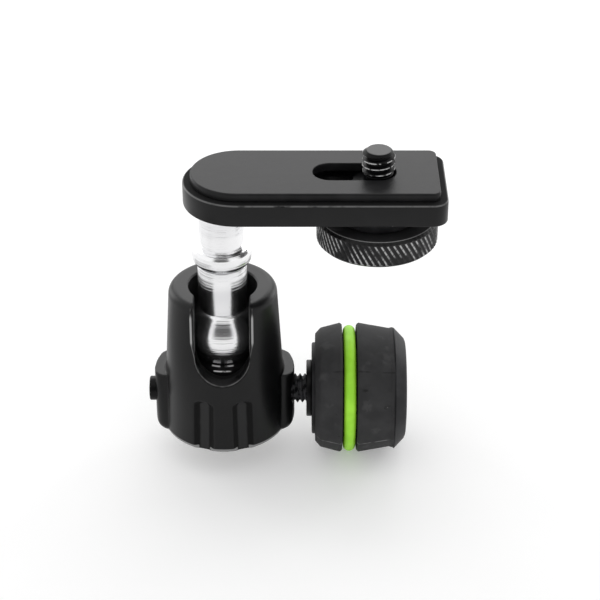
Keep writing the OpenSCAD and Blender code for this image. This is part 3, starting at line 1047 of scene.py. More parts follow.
@dataclass(frozen=True)
class FacetedRubber(Finish):
    """Rubber with a painted lighter underside, worn lines along its facets' corners painted as highlight on
    the lower corners and as shade on the upper ones, scuffs and nicks. Sizes are in millimetres.
    """

    outside: Span = (11.4, 11.8)
    low: Span = (-2.0, -4.0)
    under: Span = (-9.2, -10.0)
    line: Span = (0.2, 0.06)
    line_size: float = 420.0
    line_rub: Span = (0.35, 0.55)
    scuff_size: float = 260.0
    scuff: Span = (0.6, 0.72)
    nick: Span = (0.35, 0.29)
    under_share: float = 0.3
    line_share: float = 0.7
    scuff_share: float = 0.14
    nick_share: float = 0.8
    # The first tone paints the underside and the lower corner lines lighter as painted light, and the scuffs
    # as wear; the second paints the upper corner lines as painted shade, and the nicks.
    highlight_and_wear: Colour = grey(0.16)
    dark: Colour = grey(0.008)

    def wear(self, coat: Coat) -> None:
        """Lays the painted lighter underside, the corner lines with painted highlight below and painted shade
        above, the scuffs and the nicks.

        Args:
            coat: the material in the making.
        """
        _, y, z = coat.point()
        height = z - CLAMP_Z
        radius = coat.hypot(y, height)
        turn = (coat.math("ARCTAN2", height, -y) - math.radians(FIRST_CORNER)) * (FACETS / TURN)
        gap = coat.size(coat.math("FRACT", turn + 0.5) - 0.5) * (TURN / FACETS) * radius
        outside, low = coat.ramp(radius, *self.outside), coat.ramp(height, *self.low)
        line = coat.ramp(gap, *self.line) * coat.patches(self.line_size, self.line_rub, 3.0) * outside
        # Painted light: the underside is painted lighter.
        coat.paint(coat.ramp(height, *self.under) * outside * self.under_share, self.highlight_and_wear)
        # Corner lines broken up like wear: painted shade on the upper corners, painted highlight on the lower
        # ones.
        coat.paint(line * (1.0 - low) * self.line_share, self.dark)
        coat.paint(line * low, self.highlight_and_wear)
        scuffs = coat.noise(coat.place, self.scuff_size, 4.0)
        coat.paint(coat.ramp(scuffs, *self.scuff) * outside * self.scuff_share, self.highlight_and_wear)
        coat.paint(coat.ramp(scuffs, *self.nick) * outside * self.nick_share, self.dark)


FINISHES: dict[str, Finish] = {
    "black_casting": CastingFinish(
        "BlackCasting", srgb(8, 8, 9), srgb(12, 12, 13), roughness=0.33, patchiness=0.06, specular=0.27,
        grain_scale=2200, patch_scale=220, speck_share=0.03, speck_tone=srgb(90, 90, 90),
    ),
    "black_oxide_steel": Blackened(
        "BlackOxideSteel", srgb(26, 26, 28), srgb(40, 40, 42), roughness=0.38, patchiness=0.1, specular=0.35,
        grain_depth=0.1, patch_scale=500,
    ),
    "polished_chrome": TurnedMetal(
        "PolishedChrome", srgb(232, 232, 234), srgb(250, 250, 251), roughness=0.21, patchiness=0.08,
        grain_scale=900, grain_depth=0.02, patch_scale=120, ring_scale=2400, ring_depth=0.9,
        ring_height=0.0001,
    ),
    "plain_steel": TurnedMetal(
        "PlainSteel", srgb(150, 150, 150), srgb(178, 176, 172), roughness=0.34, grain_depth=0.06,
        patch_scale=300,
    ),
    "brass": TurnedMetal(
        "Brass", srgb(190, 156, 86), srgb(214, 184, 112), roughness=0.3, patchiness=0.08, grain_depth=0.04,
        patch_scale=300,
    ),
    "black_nylon": Finish(
        "BlackNylon", srgb(28, 28, 30), srgb(42, 42, 44), roughness=0.5, grain_scale=3200, grain_depth=0.12,
        patch_scale=300, speck_share=0.04,
    ),
    "grip_rubber": FacetedRubber(
        "GripRubber", srgb(44, 44, 45), srgb(54, 54, 55), roughness=0.7, specular=0.25, grain_scale=3800,
        grain_depth=0.25, patch_scale=240, speck_share=0.04, speck_tone=srgb(96, 96, 94),
    ),
    "pad_rubber": Finish(
        "PadRubber", srgb(22, 22, 23), srgb(34, 34, 35), roughness=0.38, patchiness=0.08, grain_scale=3500,
        grain_depth=0.12, patch_scale=200, speck_share=0.03, speck_tone=srgb(130, 130, 130),
    ),
    "adhesive": Finish("Adhesive", srgb(10, 10, 10), srgb(18, 18, 18), roughness=0.6),
    "lime_silicone": Finish(
        "LimeSilicone", srgb(158, 230, 54), srgb(174, 244, 66), roughness=0.48, specular=0.35,
        grain_scale=1800, grain_depth=0.06, patch_scale=300,
    ),
}


# Sub-assemblies


@dataclass
class Probe:
    """The point that the housing's rule is read at, with what its shapes share."""

    rule: Rule
    x: Field
    y: Field
    z: Field
    radius: Field
    skin: Field
    away: Field


@dataclass
class Housing:
    """The cast housing with its socket, drop slot, side bosses and flutes. Sizes are in millimetres."""

    cone: Cone = Cone()
    rim_round: float = 1.6
    foot_chamfer: float = 0.5
    foot_round: float = 0.25
    mouth_r: float = 6.77
    mouth_fillet: float = 0.3
    bore_r: float = 7.6
    bore_round: float = 0.3
    socket_r: float = 7.55
    skirt_r: float = 9.3
    skirt_top: float = 12.6
    insert_r: float = 10.0
    insert_h: float = 3.2
    slot_round: float = 0.18
    lip: float = 0.9
    lip_lean: float = 7.0
    lip_reach: float = 1.0
    lip_round: float = 0.1
    boss_half: float = 5.6
    boss_back: float = 7.2
    boss_draft: float = 0.175
    boss_roof: float = 12.6
    boss_roof_round: float = 0.12
    boss_sweep: float = 0.5
    boss_round: float = 1.8
    boss_corner: float = 2.2
    boss_fillet: float = 0.3
    flute_angle: float = 19.0
    flute_floor_half: float = 1.3
    flute_slope: float = 1.43
    flute_depth: float = 0.7
    flute_top: float = 11.5
    flute_end_round: float = 1.1
    flute_bed_round: float = 0.25
    flute_round: float = 0.22
    pin_r: float = 2.5
    pin_gap: float = 0.05
    screw_r: float = 3.05
    screw_start: float = 10.0
    guide_in: float = 1.0
    surface_at: float = 0.5
    crease: float = 60.0
    cell: float = 0.243

    def shape(self, rule: Rule, box: Extent) -> Field:
        """Writes how far a point lies outside the casting.

        Args:
            rule: the tree to write in.
            box: the CAD node's box.

        Returns:
            The distance in millimetres, below 0 inside.
        """
        x, y, z = rule.place()
        rim = rule.named("Rim height", box.hi.z)
        reach = rule.named("Boss reach", box.hi.x)
        foot = rule.named("Foot radius", self.cone.foot_r) - rule.named("Taper", self.cone.taper) * z
        radius = rule.hypot(x, y)
        at = Probe(rule, x, y, z, radius, radius - foot, self.cone.away(rule, x, z))
        body = rule.meet(at.skin, z - rim, self.rim_round)
        body = rule.meet(body, (at.skin - z + self.foot_chamfer) * DIAGONAL, self.foot_round)
        body = rule.larger(rule.join(body, self.boss(at, reach), self.boss_fillet), -z)
        body = rule.meet(body, -self.flutes(at, foot), self.flute_round)
        body = rule.meet(body, -rule.larger(at.away, y), self.slot_round)
        body = rule.meet(body, -self.lip_cut(at, rim, box.hi.z), self.lip_round)
        return rule.meet(body, -self.bores(at), self.bore_round)

    def boss(self, at: Probe, reach: Field) -> Field:
        """The two side bosses: a drafted front flank, a rounded foot and a flat roof, swept into the cone.

        Args:
            at: the point.
            reach: how far the bosses stand out.

        Returns:
            The distance from them.
        """
        rule, y, z = at.rule, at.y, at.z
        near = rule.larger(self.boss_sweep - at.skin, 0.0)
        sweep = self.boss_sweep - rule.math("SQRT", rule.larger(self.boss_sweep**2 - near * near, 0.0))
        front = z * self.boss_draft - self.boss_half - y
        sides = rule.meet(at.radius - reach, front, self.boss_corner)
        sides = rule.meet(sides, y - self.boss_back, self.boss_corner)
        sides = rule.meet(sides, -z, self.boss_round)
        return rule.meet(sides, z - sweep - self.boss_roof, self.boss_roof_round)

    def flutes(self, at: Probe, foot: Field) -> Field:
        """The four flutes, as one shape that the two planes of symmetry repeat.

        Args:
            at: the point.
            foot: the cone's radius at its height.

        Returns:
            The distance from them.
        """
        rule, side, front = at.rule, at.rule.size(at.x), at.rule.size(at.y)
        angle = math.radians(self.flute_angle)
        across = rule.size(side * math.cos(angle) - front * math.sin(angle))
        above = side * math.sin(angle) + front * math.cos(angle) - (foot - self.flute_depth)
        wall = (across - self.flute_floor_half - above * self.flute_slope) / math.hypot(1, self.flute_slope)
        wall = rule.meet(wall, at.z - self.flute_top, self.flute_end_round)
        return rule.meet(wall, -above, self.flute_bed_round)

    def lip_cut(self, at: Probe, rim: Field, rim_z: float) -> Field:
        """The slanted lips beside the slot, which run out towards its foot.

        Args:
            at: the point.
            rim: the rim's height, as a named input.
            rim_z: the same height as a number.

        Returns:
            The distance from what the lips lose.
        """
        rule = at.rule
        rim_r = self.cone.foot_r - self.cone.taper * rim_z
        start = math.sqrt(rim_r**2 - self.cone.slot_half**2) - self.lip
        behind = (rim - at.z) * math.tan(math.radians(self.lip_lean)) + start + at.y
        slanted = rule.larger(behind, (behind + at.away) * DIAGONAL)
        runout = at.away - self.cone.lip(rule, at.z)
        return rule.larger(rule.larger(slanted, -self.lip_reach - at.away), runout)

    def bores(self, at: Probe) -> Field:
        """Every hole inside the casting: mouth, socket, cup bore, insert seat and the two cross holes.

        Args:
            at: the point.

        Returns:
            The distance from them.
        """
        rule, x, z, radius = at.rule, at.x, at.z, at.radius
        up = z - BALL_Z
        ball = rule.hypot(radius, up) - self.socket_r
        mouth = rule.larger(radius - self.mouth_r, -up)
        bore = rule.larger(radius - self.bore_r, up)
        skirt = rule.larger(radius - self.skirt_r, z - self.skirt_top)
        seat = rule.larger(radius - self.insert_r, z - self.insert_h)
        cross = rule.hypot(at.y, z - CLAMP_Z)
        wide = rule.larger(rule.larger(cross - (self.pin_r + self.pin_gap), -x), x - self.screw_start)
        thread = rule.larger(cross - self.screw_r, self.screw_start - OVERLAP - x)
        guide = rule.larger(cross - self.pin_r, x + self.skirt_r - self.guide_in)
        hollow = rule.join(ball, mouth, self.mouth_fillet)
        return functools.reduce(rule.smaller, (hollow, bore, skirt, seat, wide, thread, guide))

    def build(self) -> None:
        """Meshes the casting from its rule and dresses it."""
        box = Extent.of("housing")
        rule = Rule("HousingShape")
        margin = Vector((2 * self.cell,) * 3)
        low, high = box.lo - margin, box.hi + margin
        density = self.surface_at - self.shape(rule, box)
        cells = {f"Resolution {axis}": round(length / self.cell) for axis, length in zip("XYZ", high - low)}
        solid = rule.out("GeometryNodeVolumeCube", Density=density, Min=low, Max=high, **cells)
        skin = rule.out("GeometryNodeVolumeToMesh", Volume=solid, Threshold=self.surface_at)
        piece = tidy(rule.finished("housing_casting", skin), self.crease)
        mount(piece, "base", "black_casting", "housing")


@dataclass
class Thread:
    """A right-handed screw thread with a crest, a root and a chamfered end. Sizes are in millimetres."""

    crest: float
    root: float
    pitch: float
    start: float
    end: float
    tip: float = 0.0
    tip_length: float = 0.0
    lead: float = 0.0
    columns: int = 64
    rows_a_turn: int = 8
    flank_gain: float = 1.45
    flank_shift: float = 0.25
    margin: float = 0.0001
    merge: float = 0.0005

    def radius(self, rule: Rule, height: Field, turn: Field, start: Field, end: Field) -> Field:
        """The rod's radius at a height and a share of a turn.

        Args:
            rule: the tree to write in.
            height: the distance along the axis.
            turn: the share of a turn.
            start: where the rod starts.
            end: where it ends.

        Returns:
            The radius.
        """
        crest, root = rule.named("Crest radius", self.crest), rule.named("Root radius", self.root)
        phase = height / rule.named("Pitch", self.pitch) - turn
        ridge = rule.wave(phase) * self.flank_gain - self.flank_shift
        radius = root + (crest - root) * rule.smaller(rule.larger(ridge, 0.0), 1.0)
        if self.tip:
            slope = (self.crest - self.tip) / self.tip_length
            radius = rule.smaller(radius, (end - height) * slope + self.tip)
        if self.lead:
            radius = rule.smaller(radius, height - start + (self.crest - self.lead))
        return radius

    def build(self, name: str, axis: Axis, centre: Vector) -> bpy.types.Object:
        """Makes the threaded rod as a closed solid.

        Args:
            name: the object's name.
            axis: the way the rod points.
            centre: a point on its axis.

        Returns:
            The object.
        """
        rule = Rule(name + "_rule")
        start, end = rule.named("Start", self.start), rule.named("End", self.end)
        rows = math.ceil((self.end - self.start + self.pitch) / self.pitch * self.rows_a_turn) + 2
        counts = {"Vertices_X": self.columns + 1, "Vertices_Y": rows + 1}
        grid = rule.out("GeometryNodeMeshGrid", Size_X=1.0, Size_Y=1.0, **counts)
        x, y, _ = rule.place()
        turn, rise = x + 0.5, y + 0.5
        height = start - self.pitch + (rise * float(rows) - 1.0) * self.pitch / float(self.rows_a_turn)
        height = rule.smaller(rule.larger(height + turn * self.pitch, start), end)
        closed = rule.math("GREATER_THAN", rise, self.margin) * rule.math("LESS_THAN", rise, 1 - self.margin)
        radius = self.radius(rule, height, turn, start, end) * closed
        a, b = radius * rule.math("COSINE", turn * TURN), radius * rule.math("SINE", turn * TURN)
        up = axis is Axis.UP
        ends = (a + centre.x, b + centre.y, height) if up else (height, b + centre.y, centre.z - a)
        rod = rule.moved(grid, rule.vector(*ends))
        merged = rule.out("GeometryNodeMergeByDistance", Geometry=rod, Distance=self.merge)
        return tidy(rule.finished(name, merged), 34, FINE_MERGE)


@dataclass
class Base:
    """The screwed-in insert and the small screws and springs inside the housing. Sizes are in millimetres."""

    thread_r: float = 4.7625
    thread_depth: float = 0.76
    thread_pitch: float = 1.5875
    entry: float = 0.8
    boss_r: float = 6.0
    flange_h: float = 3.2
    spanner_r: float = 0.9
    spanner_depth: float = 1.8
    guide_r: float = 2.5
    guide_depth: float = 0.45
    guide_pitch: float = 0.8
    guide_lead: float = 0.35
    guide_plain: float = 1.6
    dog_r: float = 1.6
    dog_l: float = 2.2
    hex_r: float = 1.25
    hex_depth: float = 2.0
    hex_point: float = 0.5

    def insert(self) -> None:
        """The insert with its stand thread cut inside."""
        box = Extent.of("base_insert")
        bore, top, flange = self.thread_r - self.entry, box.hi.z, box.hi.x
        body = turned("stand_insert", [
            (self.thread_r, 0, 0.3), (flange, 0, 0.3), (flange, self.flange_h, 0.2),
            (self.boss_r, self.flange_h, 0.1), (self.boss_r, top, 0.3), (bore, top, 0.1),
            (bore, self.entry, 0.05),
        ], segments=96)
        root = self.thread_r - self.thread_depth
        tap = Thread(self.thread_r, root, self.thread_pitch, -BEYOND, top + BEYOND, columns=72)
        away = (flange + self.thread_r) / 2
        holes = [
            turned(f"spanner_cutter_{side}", plug(self.spanner_r, -BEYOND, self.spanner_depth),
                   centre=Vector((0, side * away, 0)), segments=32)
            for side in (-1, 1)
        ]
        body = cut(body, tap.build("stand_thread_cutter", Axis.UP, ORIGIN), *holes)
        mount(body, "base", "plain_steel", "base_insert")

    def guide_screw(self) -> None:
        """The set screw that stands out of the left boss."""
        box = Extent.of("guide_screw")
        axis, front, rear = box.middle, box.lo.x, box.hi.x
        plain, dog_x = front + self.guide_plain, rear - self.dog_l
        thread = Thread(
            self.guide_r, self.guide_r - self.guide_depth, self.guide_pitch, plain - OVERLAP, dog_x + OVERLAP,
            lead=self.guide_lead, columns=48,
        )
        rod = thread.build("guide_set_screw", Axis.ACROSS, axis)
        end = turned("guide_end", plug(self.guide_r, front, plain, (0.3, 0)), Axis.ACROSS, axis, 48)
        dog = turned("guide_dog", plug(self.dog_r, dog_x, rear, (0, 0.2)), Axis.ACROSS, axis, 32)
        deep = front + self.hex_depth
        outline = [*plug(self.hex_r, front - BEYOND, deep)[:3], (0, deep + self.hex_point, 0)]
        for solid in (rod, end):
            cut(solid, turned("guide_socket", outline, Axis.ACROSS, axis, 6), crease=40)
        finish = Blackened("SetScrewSteel", srgb(6, 6, 7), srgb(10, 10, 11), roughness=0.36, specular=0.16)
        mount(joined(rod, end, dog), "base", "black_oxide_steel", "guide_screw", finish)

    def build(self) -> None:
        """Builds what closes and guides the housing, and dresses the hidden CAD pieces."""
        self.insert()
        self.guide_screw()
        dress("preload_spring", FINISHES["plain_steel"])
        dress("stud_screw", FINISHES["plain_steel"])
        dress("thrust_pin", FINISHES["brass"])
        dress("pressure_cup", CupRimHighlight(
            "CupNylon", srgb(16, 16, 17), srgb(22, 22, 23), roughness=0.4, patchiness=0.08, specular=0.25,
            grain_scale=3200, patch_scale=300, rim_z=Extent.of("pressure_cup").hi.z,
        ))
        dress("screw_clip", Finish(
            "ClipSpringSteel", srgb(10, 10, 11), srgb(16, 16, 17), roughness=0.5, specular=0.15,
            grain_scale=4000,
        ))


@dataclass
class Stud:
    """The ball and its turned shank with a grooved collar. Sizes are in millimetres."""

    ball_r: float = 7.5
    ball_steps: int = 55
    undercut: float = 0.12
    neck_low: float = 0.02
    neck_rise: float = 0.25
    neck_angle: float = 0.03
    shank_r: float = 4.9
    groove_z: float = 37.4
    groove_h: float = 0.6
    groove_slope: float = 0.02
    neck_r: float = 4.4
    collar_r: float = 5.93
    collar_h: float = 3.4
    collar_edge: Sequence[Triple] = ((0.5, 0, 0.25), (0.1, 0.7, 0.5))
    collar_round: float = 1.5
    shoulder_z: float = 51.18
    spigot_r: float = 3.4
    screw_r: float = 2.05
    hole_z: float = 45.4

    def outline(self, top: float) -> list[Triple]:
        """The outline of the stud, from the ball's foot round to the fixing screw's hole.

        Args:
            top: the height of the spigot's end.

        Returns:
            Its corners.
        """
        meet = math.acos(self.shank_r / self.ball_r)
        neck_z = BALL_Z + self.ball_r * math.sin(meet)
        ball = arc(self.ball_r, -math.pi / 2, meet - self.neck_angle, self.ball_steps, 0, BALL_Z)
        foot = self.groove_z + self.groove_h
        head = foot + self.collar_h
        edge = [(self.collar_r - depth, rise, rounding) for depth, rise, rounding in self.collar_edge]
        return [
            (0, BALL_Z - self.ball_r, 0), *((r, z, 0) for r, z in ball[1:-1]),
            (self.shank_r - self.undercut, neck_z - self.neck_low, 0.12),
            (self.shank_r, neck_z + self.neck_rise, 0.2), (self.shank_r, self.groove_z, 0.15),
            (self.neck_r, self.groove_z + self.groove_slope, 0.05), (self.neck_r, foot, 0.05),
            *((r, foot + rise, rounding) for r, rise, rounding in edge),
            (self.collar_r, (foot + head) / 2, self.collar_round),
            *((r, head - rise, rounding) for r, rise, rounding in reversed(edge)),
            (self.neck_r, head, 0.12), (self.neck_r, self.shoulder_z, 0.15),
            (self.spigot_r, self.shoulder_z, 0.05), (self.spigot_r, top, 0.2),
            (self.screw_r, top, 0.1), (self.screw_r, self.hole_z, 0), (0, self.hole_z, 0),
        ]

    def build(self) -> None:
        """Turns the stud and dresses it."""
        corners = self.outline(Extent.of("ball_stud").hi.z)
        piece = turned("polished_stud", corners, segments=160, crease=30, steps=4)
        mount(piece, "stud", "polished_chrome", "ball_stud")


@dataclass
class Plate:
    """The slotted plate with its rubber pad. Sizes are in millimetres."""

    width: float = 21.5
    pad_slot_edge: Sequence[Span] = ((0, 0.2), (0.06, 0.06), (0.2, 0))
    corner_r: float = 3.0
    least_corner_r: float = 0.4
    slot_half: float = 3.43
    slot_chamfer: float = 0.25
    track_half: float = 5.2
    track_depth: float = 1.2
    slot_from: float = 21.25
    slot_to: float = 30.45
    slot_steps: int = 24
    edge: float = 0.35
    edge_steps: Sequence[int] = (4, 5)
    face_inset: float = 0.06
    pad_inset: float = 1.5
    pad_foot: float = 0.08
    pad_edge: float = 0.35
    film_inset: float = 0.25
    seat_r: float = 3.45
    seat_depth: float = 1.85
    screw_r: float = 2.0
    screw_sink: float = 2.0
    curve_steps: int = 40
    corner_steps: int = 10
    crease: float = 28.0
    flat: float = 0.99999

    def tongue(self, inset: float) -> np.ndarray:
        """The plate's outline, set in by a distance.

        Args:
            inset: how far the outline lies inside the plate's own.

        Returns:
            Points in the plane, always as many and in the same order.
        """
        box, quarter = Extent.of("plate"), math.pi / 2
        half = self.width / 2 - inset
        corner = max(self.corner_r - inset, self.least_corner_r)
        hub_x, hub_y = box.hi.x - inset - corner, half - corner
        points = arc(half, quarter, 3 * quarter, self.curve_steps, box.lo.x + self.width / 2)
        points += arc(corner, -quarter, 0, self.corner_steps, hub_x, -hub_y)
        return np.array(points + arc(corner, 0, quarter, self.corner_steps, hub_x, hub_y))

    def slot(self, half: float) -> np.ndarray:
        """A slot's outline, always with as many points."""
        quarter, steps = math.pi / 2, self.slot_steps
        right = arc(half, -quarter, quarter, steps, self.slot_to)
        return np.array(right + arc(half, quarter, 3 * quarter, steps, self.slot_from))

    def layered(self, name: str, outer: Sequence[tuple], inner: Sequence[tuple]) -> bpy.types.Object:
        """Makes a flat solid with a hole from stacked outlines.

        Args:
            name: the object's name.
            outer: (outline, height) from the bottom face up to the top face.
            inner: the same for the hole.

        Returns:
            The object.
        """
        work = bmesh.new()
        faces = ([], [])
        for loops in (outer, inner):
            rings = [[work.verts.new((*(p * MM), z * MM)) for p in points] for points, z in loops]
            for low, high in zip(rings, rings[1:]):
                for i in range(len(low)):
                    work.faces.new((low[i - 1], low[i], high[i], high[i - 1]))
            for edges, ring in zip(faces, (rings[0], rings[-1])):
                edges += [work.edges.get((ring[i - 1], ring[i])) for i in range(len(ring))]
        for edges in faces:
            bmesh.ops.triangle_fill(work, use_beauty=True, edges=edges)
        mesh = bpy.data.meshes.new(name)
        work.to_mesh(mesh)
        work.free()
        piece = tidy(placed(name, mesh), self.crease, FINE_MERGE)
        mesh.polygons.foreach_set("use_smooth", [abs(face.normal.z) < self.flat for face in mesh.polygons])
        return piece

    def rounded(self, inset: float, low: float, high: float, foot: float, head: float) -> list[tuple]:
        """Stacked outlines of a slab with a small rounding at its lower and upper edge.

        Args:
            inset: how far the slab lies inside the plate's outline.
            low: the height of its bottom.
            high: the height of its top.
            foot: the lower rounding's radius.
            head: the upper rounding's radius.

        Returns:
            (outline, height) from the bottom face up to the top face.
        """
        foot_steps, head_steps = self.edge_steps
        rings = []
        for a in np.linspace(0, math.pi / 2, foot_steps + 1):
            rings.append((self.tongue(inset + foot * (1 - math.sin(a))), low + foot * (1 - math.cos(a))))
        for a in np.linspace(0, math.pi / 2, head_steps + 1):
            rings.append((self.tongue(inset + head * (1 - math.cos(a))), high - head + head * math.sin(a)))
        return [*rings, (self.tongue(inset + head + self.face_inset), high)]

    def slotted(self, *levels: Span) -> list[tuple]:
        """A slot's stacked outlines from (half width, height) for each."""
        return [(self.slot(half), z) for half, z in levels]

    def plate(self) -> None:
        """The plate, with the stud's seat and its countersunk hole."""
        box = Extent.of("plate")
        low, high, half = box.lo.z, box.hi.z, self.slot_half
        track = high - self.track_depth
        slot = self.slotted(
            (half + self.slot_chamfer, low), (half, low + self.slot_chamfer), (half, track),
            (self.track_half, track), (self.track_half, high),
        )
        slab = self.layered("camera_plate", self.rounded(0, low, high, self.edge, self.edge), slot)
        seat = turned("spigot_cutter", plug(self.seat_r, low - BEYOND, low + self.seat_depth), segments=64)
        wide = self.screw_r + self.screw_sink
        screw = turned("screw_cutter", [
            (0, low + BEYOND, 0), (self.screw_r, low + BEYOND, 0), (self.screw_r, high - self.screw_sink, 0),
            (wide, high, 0), (wide, high + BEYOND, 0), (0, high + BEYOND, 0),
        ], segments=48)
        finish = EdgedFinish(
            "BlackPlate", srgb(9, 9, 10), srgb(14, 14, 15), roughness=0.33, patchiness=0.06, specular=0.27,
            patch_scale=200, speck_share=0.03, speck_tone=srgb(90, 90, 90), top=high,
        )
        mount(cut(slab, seat, screw, crease=self.crease), "arm", "black_plate", "plate", finish)

    def build(self) -> None:
        """Builds the plate, the pad and the film between them."""
        self.plate()
        pad, film, half = Extent.of("plate_pad"), Extent.of("pad_adhesive"), self.slot_half
        low, high = pad.lo.z, pad.hi.z
        edge = [(half + wider, high - depth) for wider, depth in self.pad_slot_edge]
        slot = self.slotted((half, low), *edge)
        slab = self.rounded(self.pad_inset, low, high, self.pad_foot, self.pad_edge)
        mount(self.layered("rubber_pad", slab, slot), "arm", "pad_rubber", "plate_pad")
        outline = self.tongue(self.pad_inset + self.film_inset)
        slot = self.slotted((self.track_half, film.lo.z), (self.track_half, film.hi.z))
        sheet = self.layered("adhesive_film", [(outline, film.lo.z), (outline, film.hi.z)], slot)
        mount(sheet, "arm", "adhesive", "pad_adhesive")


@dataclass
class Knob:
    """The side knob: clamp screw, hub, core, faceted grip, ring and end cap. Sizes are in millimetres."""

    facet_sag: float = 0.35
    sag_from: float = 11.0
    sag_clear: float = 0.2
    dent_scale: float = 0.9
    dent: Span = (0.62, 0.78)
    dent_depth: float = 0.06
    dent_from: float = 12.0
    screw_r: float = 3.0
    screw_root: float = 2.45
    screw_lead: float = 0.4
    pitch: float = 1.0
    hex_from: float = 25.0
    hex_r: float = 5.77
    hub_flange: float = 1.1
    hub_r: float = 4.8
    hub_gap: float = 0.03
    core_r: float = 9.4
    core_gap: float = 0.01
    core_floor: float = 1.0
    bore_gap: float = 0.02
    core_inside: float = 7.65
    core_seat: float = 5.9
    core_deep: float = 3.05
    front_r: float = 11.2
    shoulder: Span = (12.42, 1.1)
    crown_r: float = 13.45
    crown_l: Span = (5.08, 8.82)
    groove_l: Span = (5.48, 8.42)
    groove_r: float = 10.45
    groove_lip: float = 0.4
    waist: Span = (12.35, 15.1)
    rear_r: float = 12.5
    rear_l: Span = (15.6, 16.0)
    ring_r: float = 11.7
    ring_section: float = 1.25
    ring_steps: int = 28
    cap_face: float = 34.5
    cap_r: float = 12.4
    cap_inside: float = 7.6
    cap_wall: float = 0.15
    cap_cone: Span = (10.3, 2.15)
    cap_step: Span = (9.7, 2.4)
    dome_h: float = 2.6
    dome_fall: float = 0.2
    dome_steps: int = 7
    dome_from: float = 8.8
    dome_to: float = 1.4
    edge_length: float = 0.7
    columns: int = 240

    @property
    def axis(self) -> Vector:
        """A point on the knob's axis."""
        return Extent.of("clamp_screw").middle

    def lathed(self, name: str, corners: Sequence[Triple], *fineness: float) -> bpy.types.Object:
        """Turns a piece round the knob's axis, with its segments and its crease."""
        return turned(name, corners, Axis.ACROSS, self.axis, *fineness)

    def screw(self) -> None:
        """The clamp screw with its hexagon head inside the core."""
        box = Extent.of("clamp_screw")
        thread = Thread(
            self.screw_r, self.screw_root, self.pitch, box.lo.x, self.hex_from, lead=self.screw_lead,
            columns=56,
        )
        rod = thread.build("clamp_screw_rod", Axis.ACROSS, self.axis)
        head = self.lathed("clamp_screw_head", plug(self.hex_r, self.hex_from - OVERLAP, box.hi.x), 6, 20)
        finish = ThreadWearAndGlint(
            "ClampScrewSteel", srgb(8, 8, 9), srgb(14, 14, 15), specular=0.22, bright=srgb(70, 70, 72)
        )
        mount(joined(rod, head), "knob", "black_oxide_steel", "clamp_screw", finish)

    def hub(self) -> None:
        """The flanged metal hub between the core and the boss."""
        box = Extent.of("knob_hub")
        low, high, flange = box.lo.x, box.hi.x, (box.hi.z - box.lo.z) / 2
        bore, step = self.screw_r + self.hub_gap, box.lo.x + self.hub_flange
        piece = self.lathed("flanged_hub", [
            (bore, low, 0.2), (flange, low, 0.25), (flange, step, 0.2), (self.hub_r, step, 0.1),
            (self.hub_r, high, 0.2), (bore, high, 0.1),
        ], 96)
        finish = Blackened(
            "HubSteel", srgb(9, 9, 10), srgb(15, 15, 16), roughness=0.36, specular=0.22, grain_depth=0.1,
            patch_scale=500,
        )
        mount(piece, "knob", "black_oxide_steel", "knob_hub", finish)

    def core(self) -> None:
        """The moulded core that the grip sits on."""
        box = Extent.of("knob_core")
        low, high, deep = box.lo.x, box.hi.x, self.cap_face - self.core_deep
        bore, outside = self.hub_r + self.bore_gap, self.core_r - self.core_gap
        floor = self.hex_from - self.core_floor
        piece = self.lathed("moulded_core", [
            (bore, low, 0.1), (outside, low, 0.35), (outside, high, 0.1), (self.core_inside, high, 0.1),
            (self.core_inside, deep, 0.1), (self.core_seat, deep, 0.1), (self.core_seat, self.hex_from, 0.05),
            (bore, floor, 0.05),
        ], 120)
        mount(piece, "knob", "black_nylon", "knob_core")

    def grip_outline(self) -> list[Span]:
        """The grip's turned outline, with points close enough together for the facets."""
        start = Extent.of("knob_grip").lo.x
        lip_r = self.crown_r - self.groove_lip
        corners = [
            (self.core_r, 0, 0.1), (self.front_r, 0, 0.45), (*self.shoulder, 0.9),
            (self.crown_r, self.crown_l[0], 0.4), (lip_r, self.groove_l[0], 0.2),
            (self.groove_r, self.groove_l[0], 0.3),
            (self.groove_r, self.groove_l[1], 0.3), (lip_r, self.groove_l[1], 0.2),
            (self.crown_r, self.crown_l[1], 0.3), (*self.waist, 0.5), (self.rear_r, self.rear_l[0], 0.25),
            (self.rear_r, self.rear_l[1], 0.15), (self.core_r, self.rear_l[1], 0.1),
        ]
        outline = soften([(r, start + along, rounding) for r, along, rounding in corners])
        dense: list[Span] = []
        for here, ahead in zip(outline, outline[1:] + outline[:1]):
            parts = max(1, round(math.dist(here, ahead) / self.edge_length))
            dense += [tuple(a + (b - a) * k / parts for a, b in zip(here, ahead)) for k in range(parts)]
        return dense

    def grip(self) -> None:
        """The rubber grip: a turned outline with a groove, pressed into flat-looking facets by a rule."""
        outline, centre = self.grip_outline(), self.axis
        points = lathe_points(outline, Axis.ACROSS, centre, self.columns)
        mesh = mesh_of("grip_start", points, ring_faces(len(outline), self.columns, True))
        rule = Rule("GripFacets")
        x, y, z = rule.place()
        height = z - rule.named("Axis height", centre.z)
        radius = rule.hypot(y, height)
        turn = rule.math("ARCTAN2", height, -y) - rule.named("First corner", math.radians(FIRST_CORNER))
        share = rule.math("FRACT", turn * (FACETS / TURN))
        sag = share * (1.0 - share) * 4.0 * rule.named("Sag", self.facet_sag)
        sag = sag * rule.ramp(radius, self.core_r + self.sag_clear, self.sag_from)
        dents = rule.ramp(rule.noise(rule.vector(x, y, z), self.dent_scale), *self.dent) * self.dent_depth
        scale = (radius - sag - dents * rule.ramp(radius, self.sag_from, self.dent_from)) / radius
        pressed = rule.vector(x, y * scale, height * scale + centre.z)
        moved = rule.moved(rule.start.outputs["Geometry"], pressed)
        mount(tidy(rule.finished("rubber_grip", moved, mesh), 28), "knob", "grip_rubber", "knob_grip")

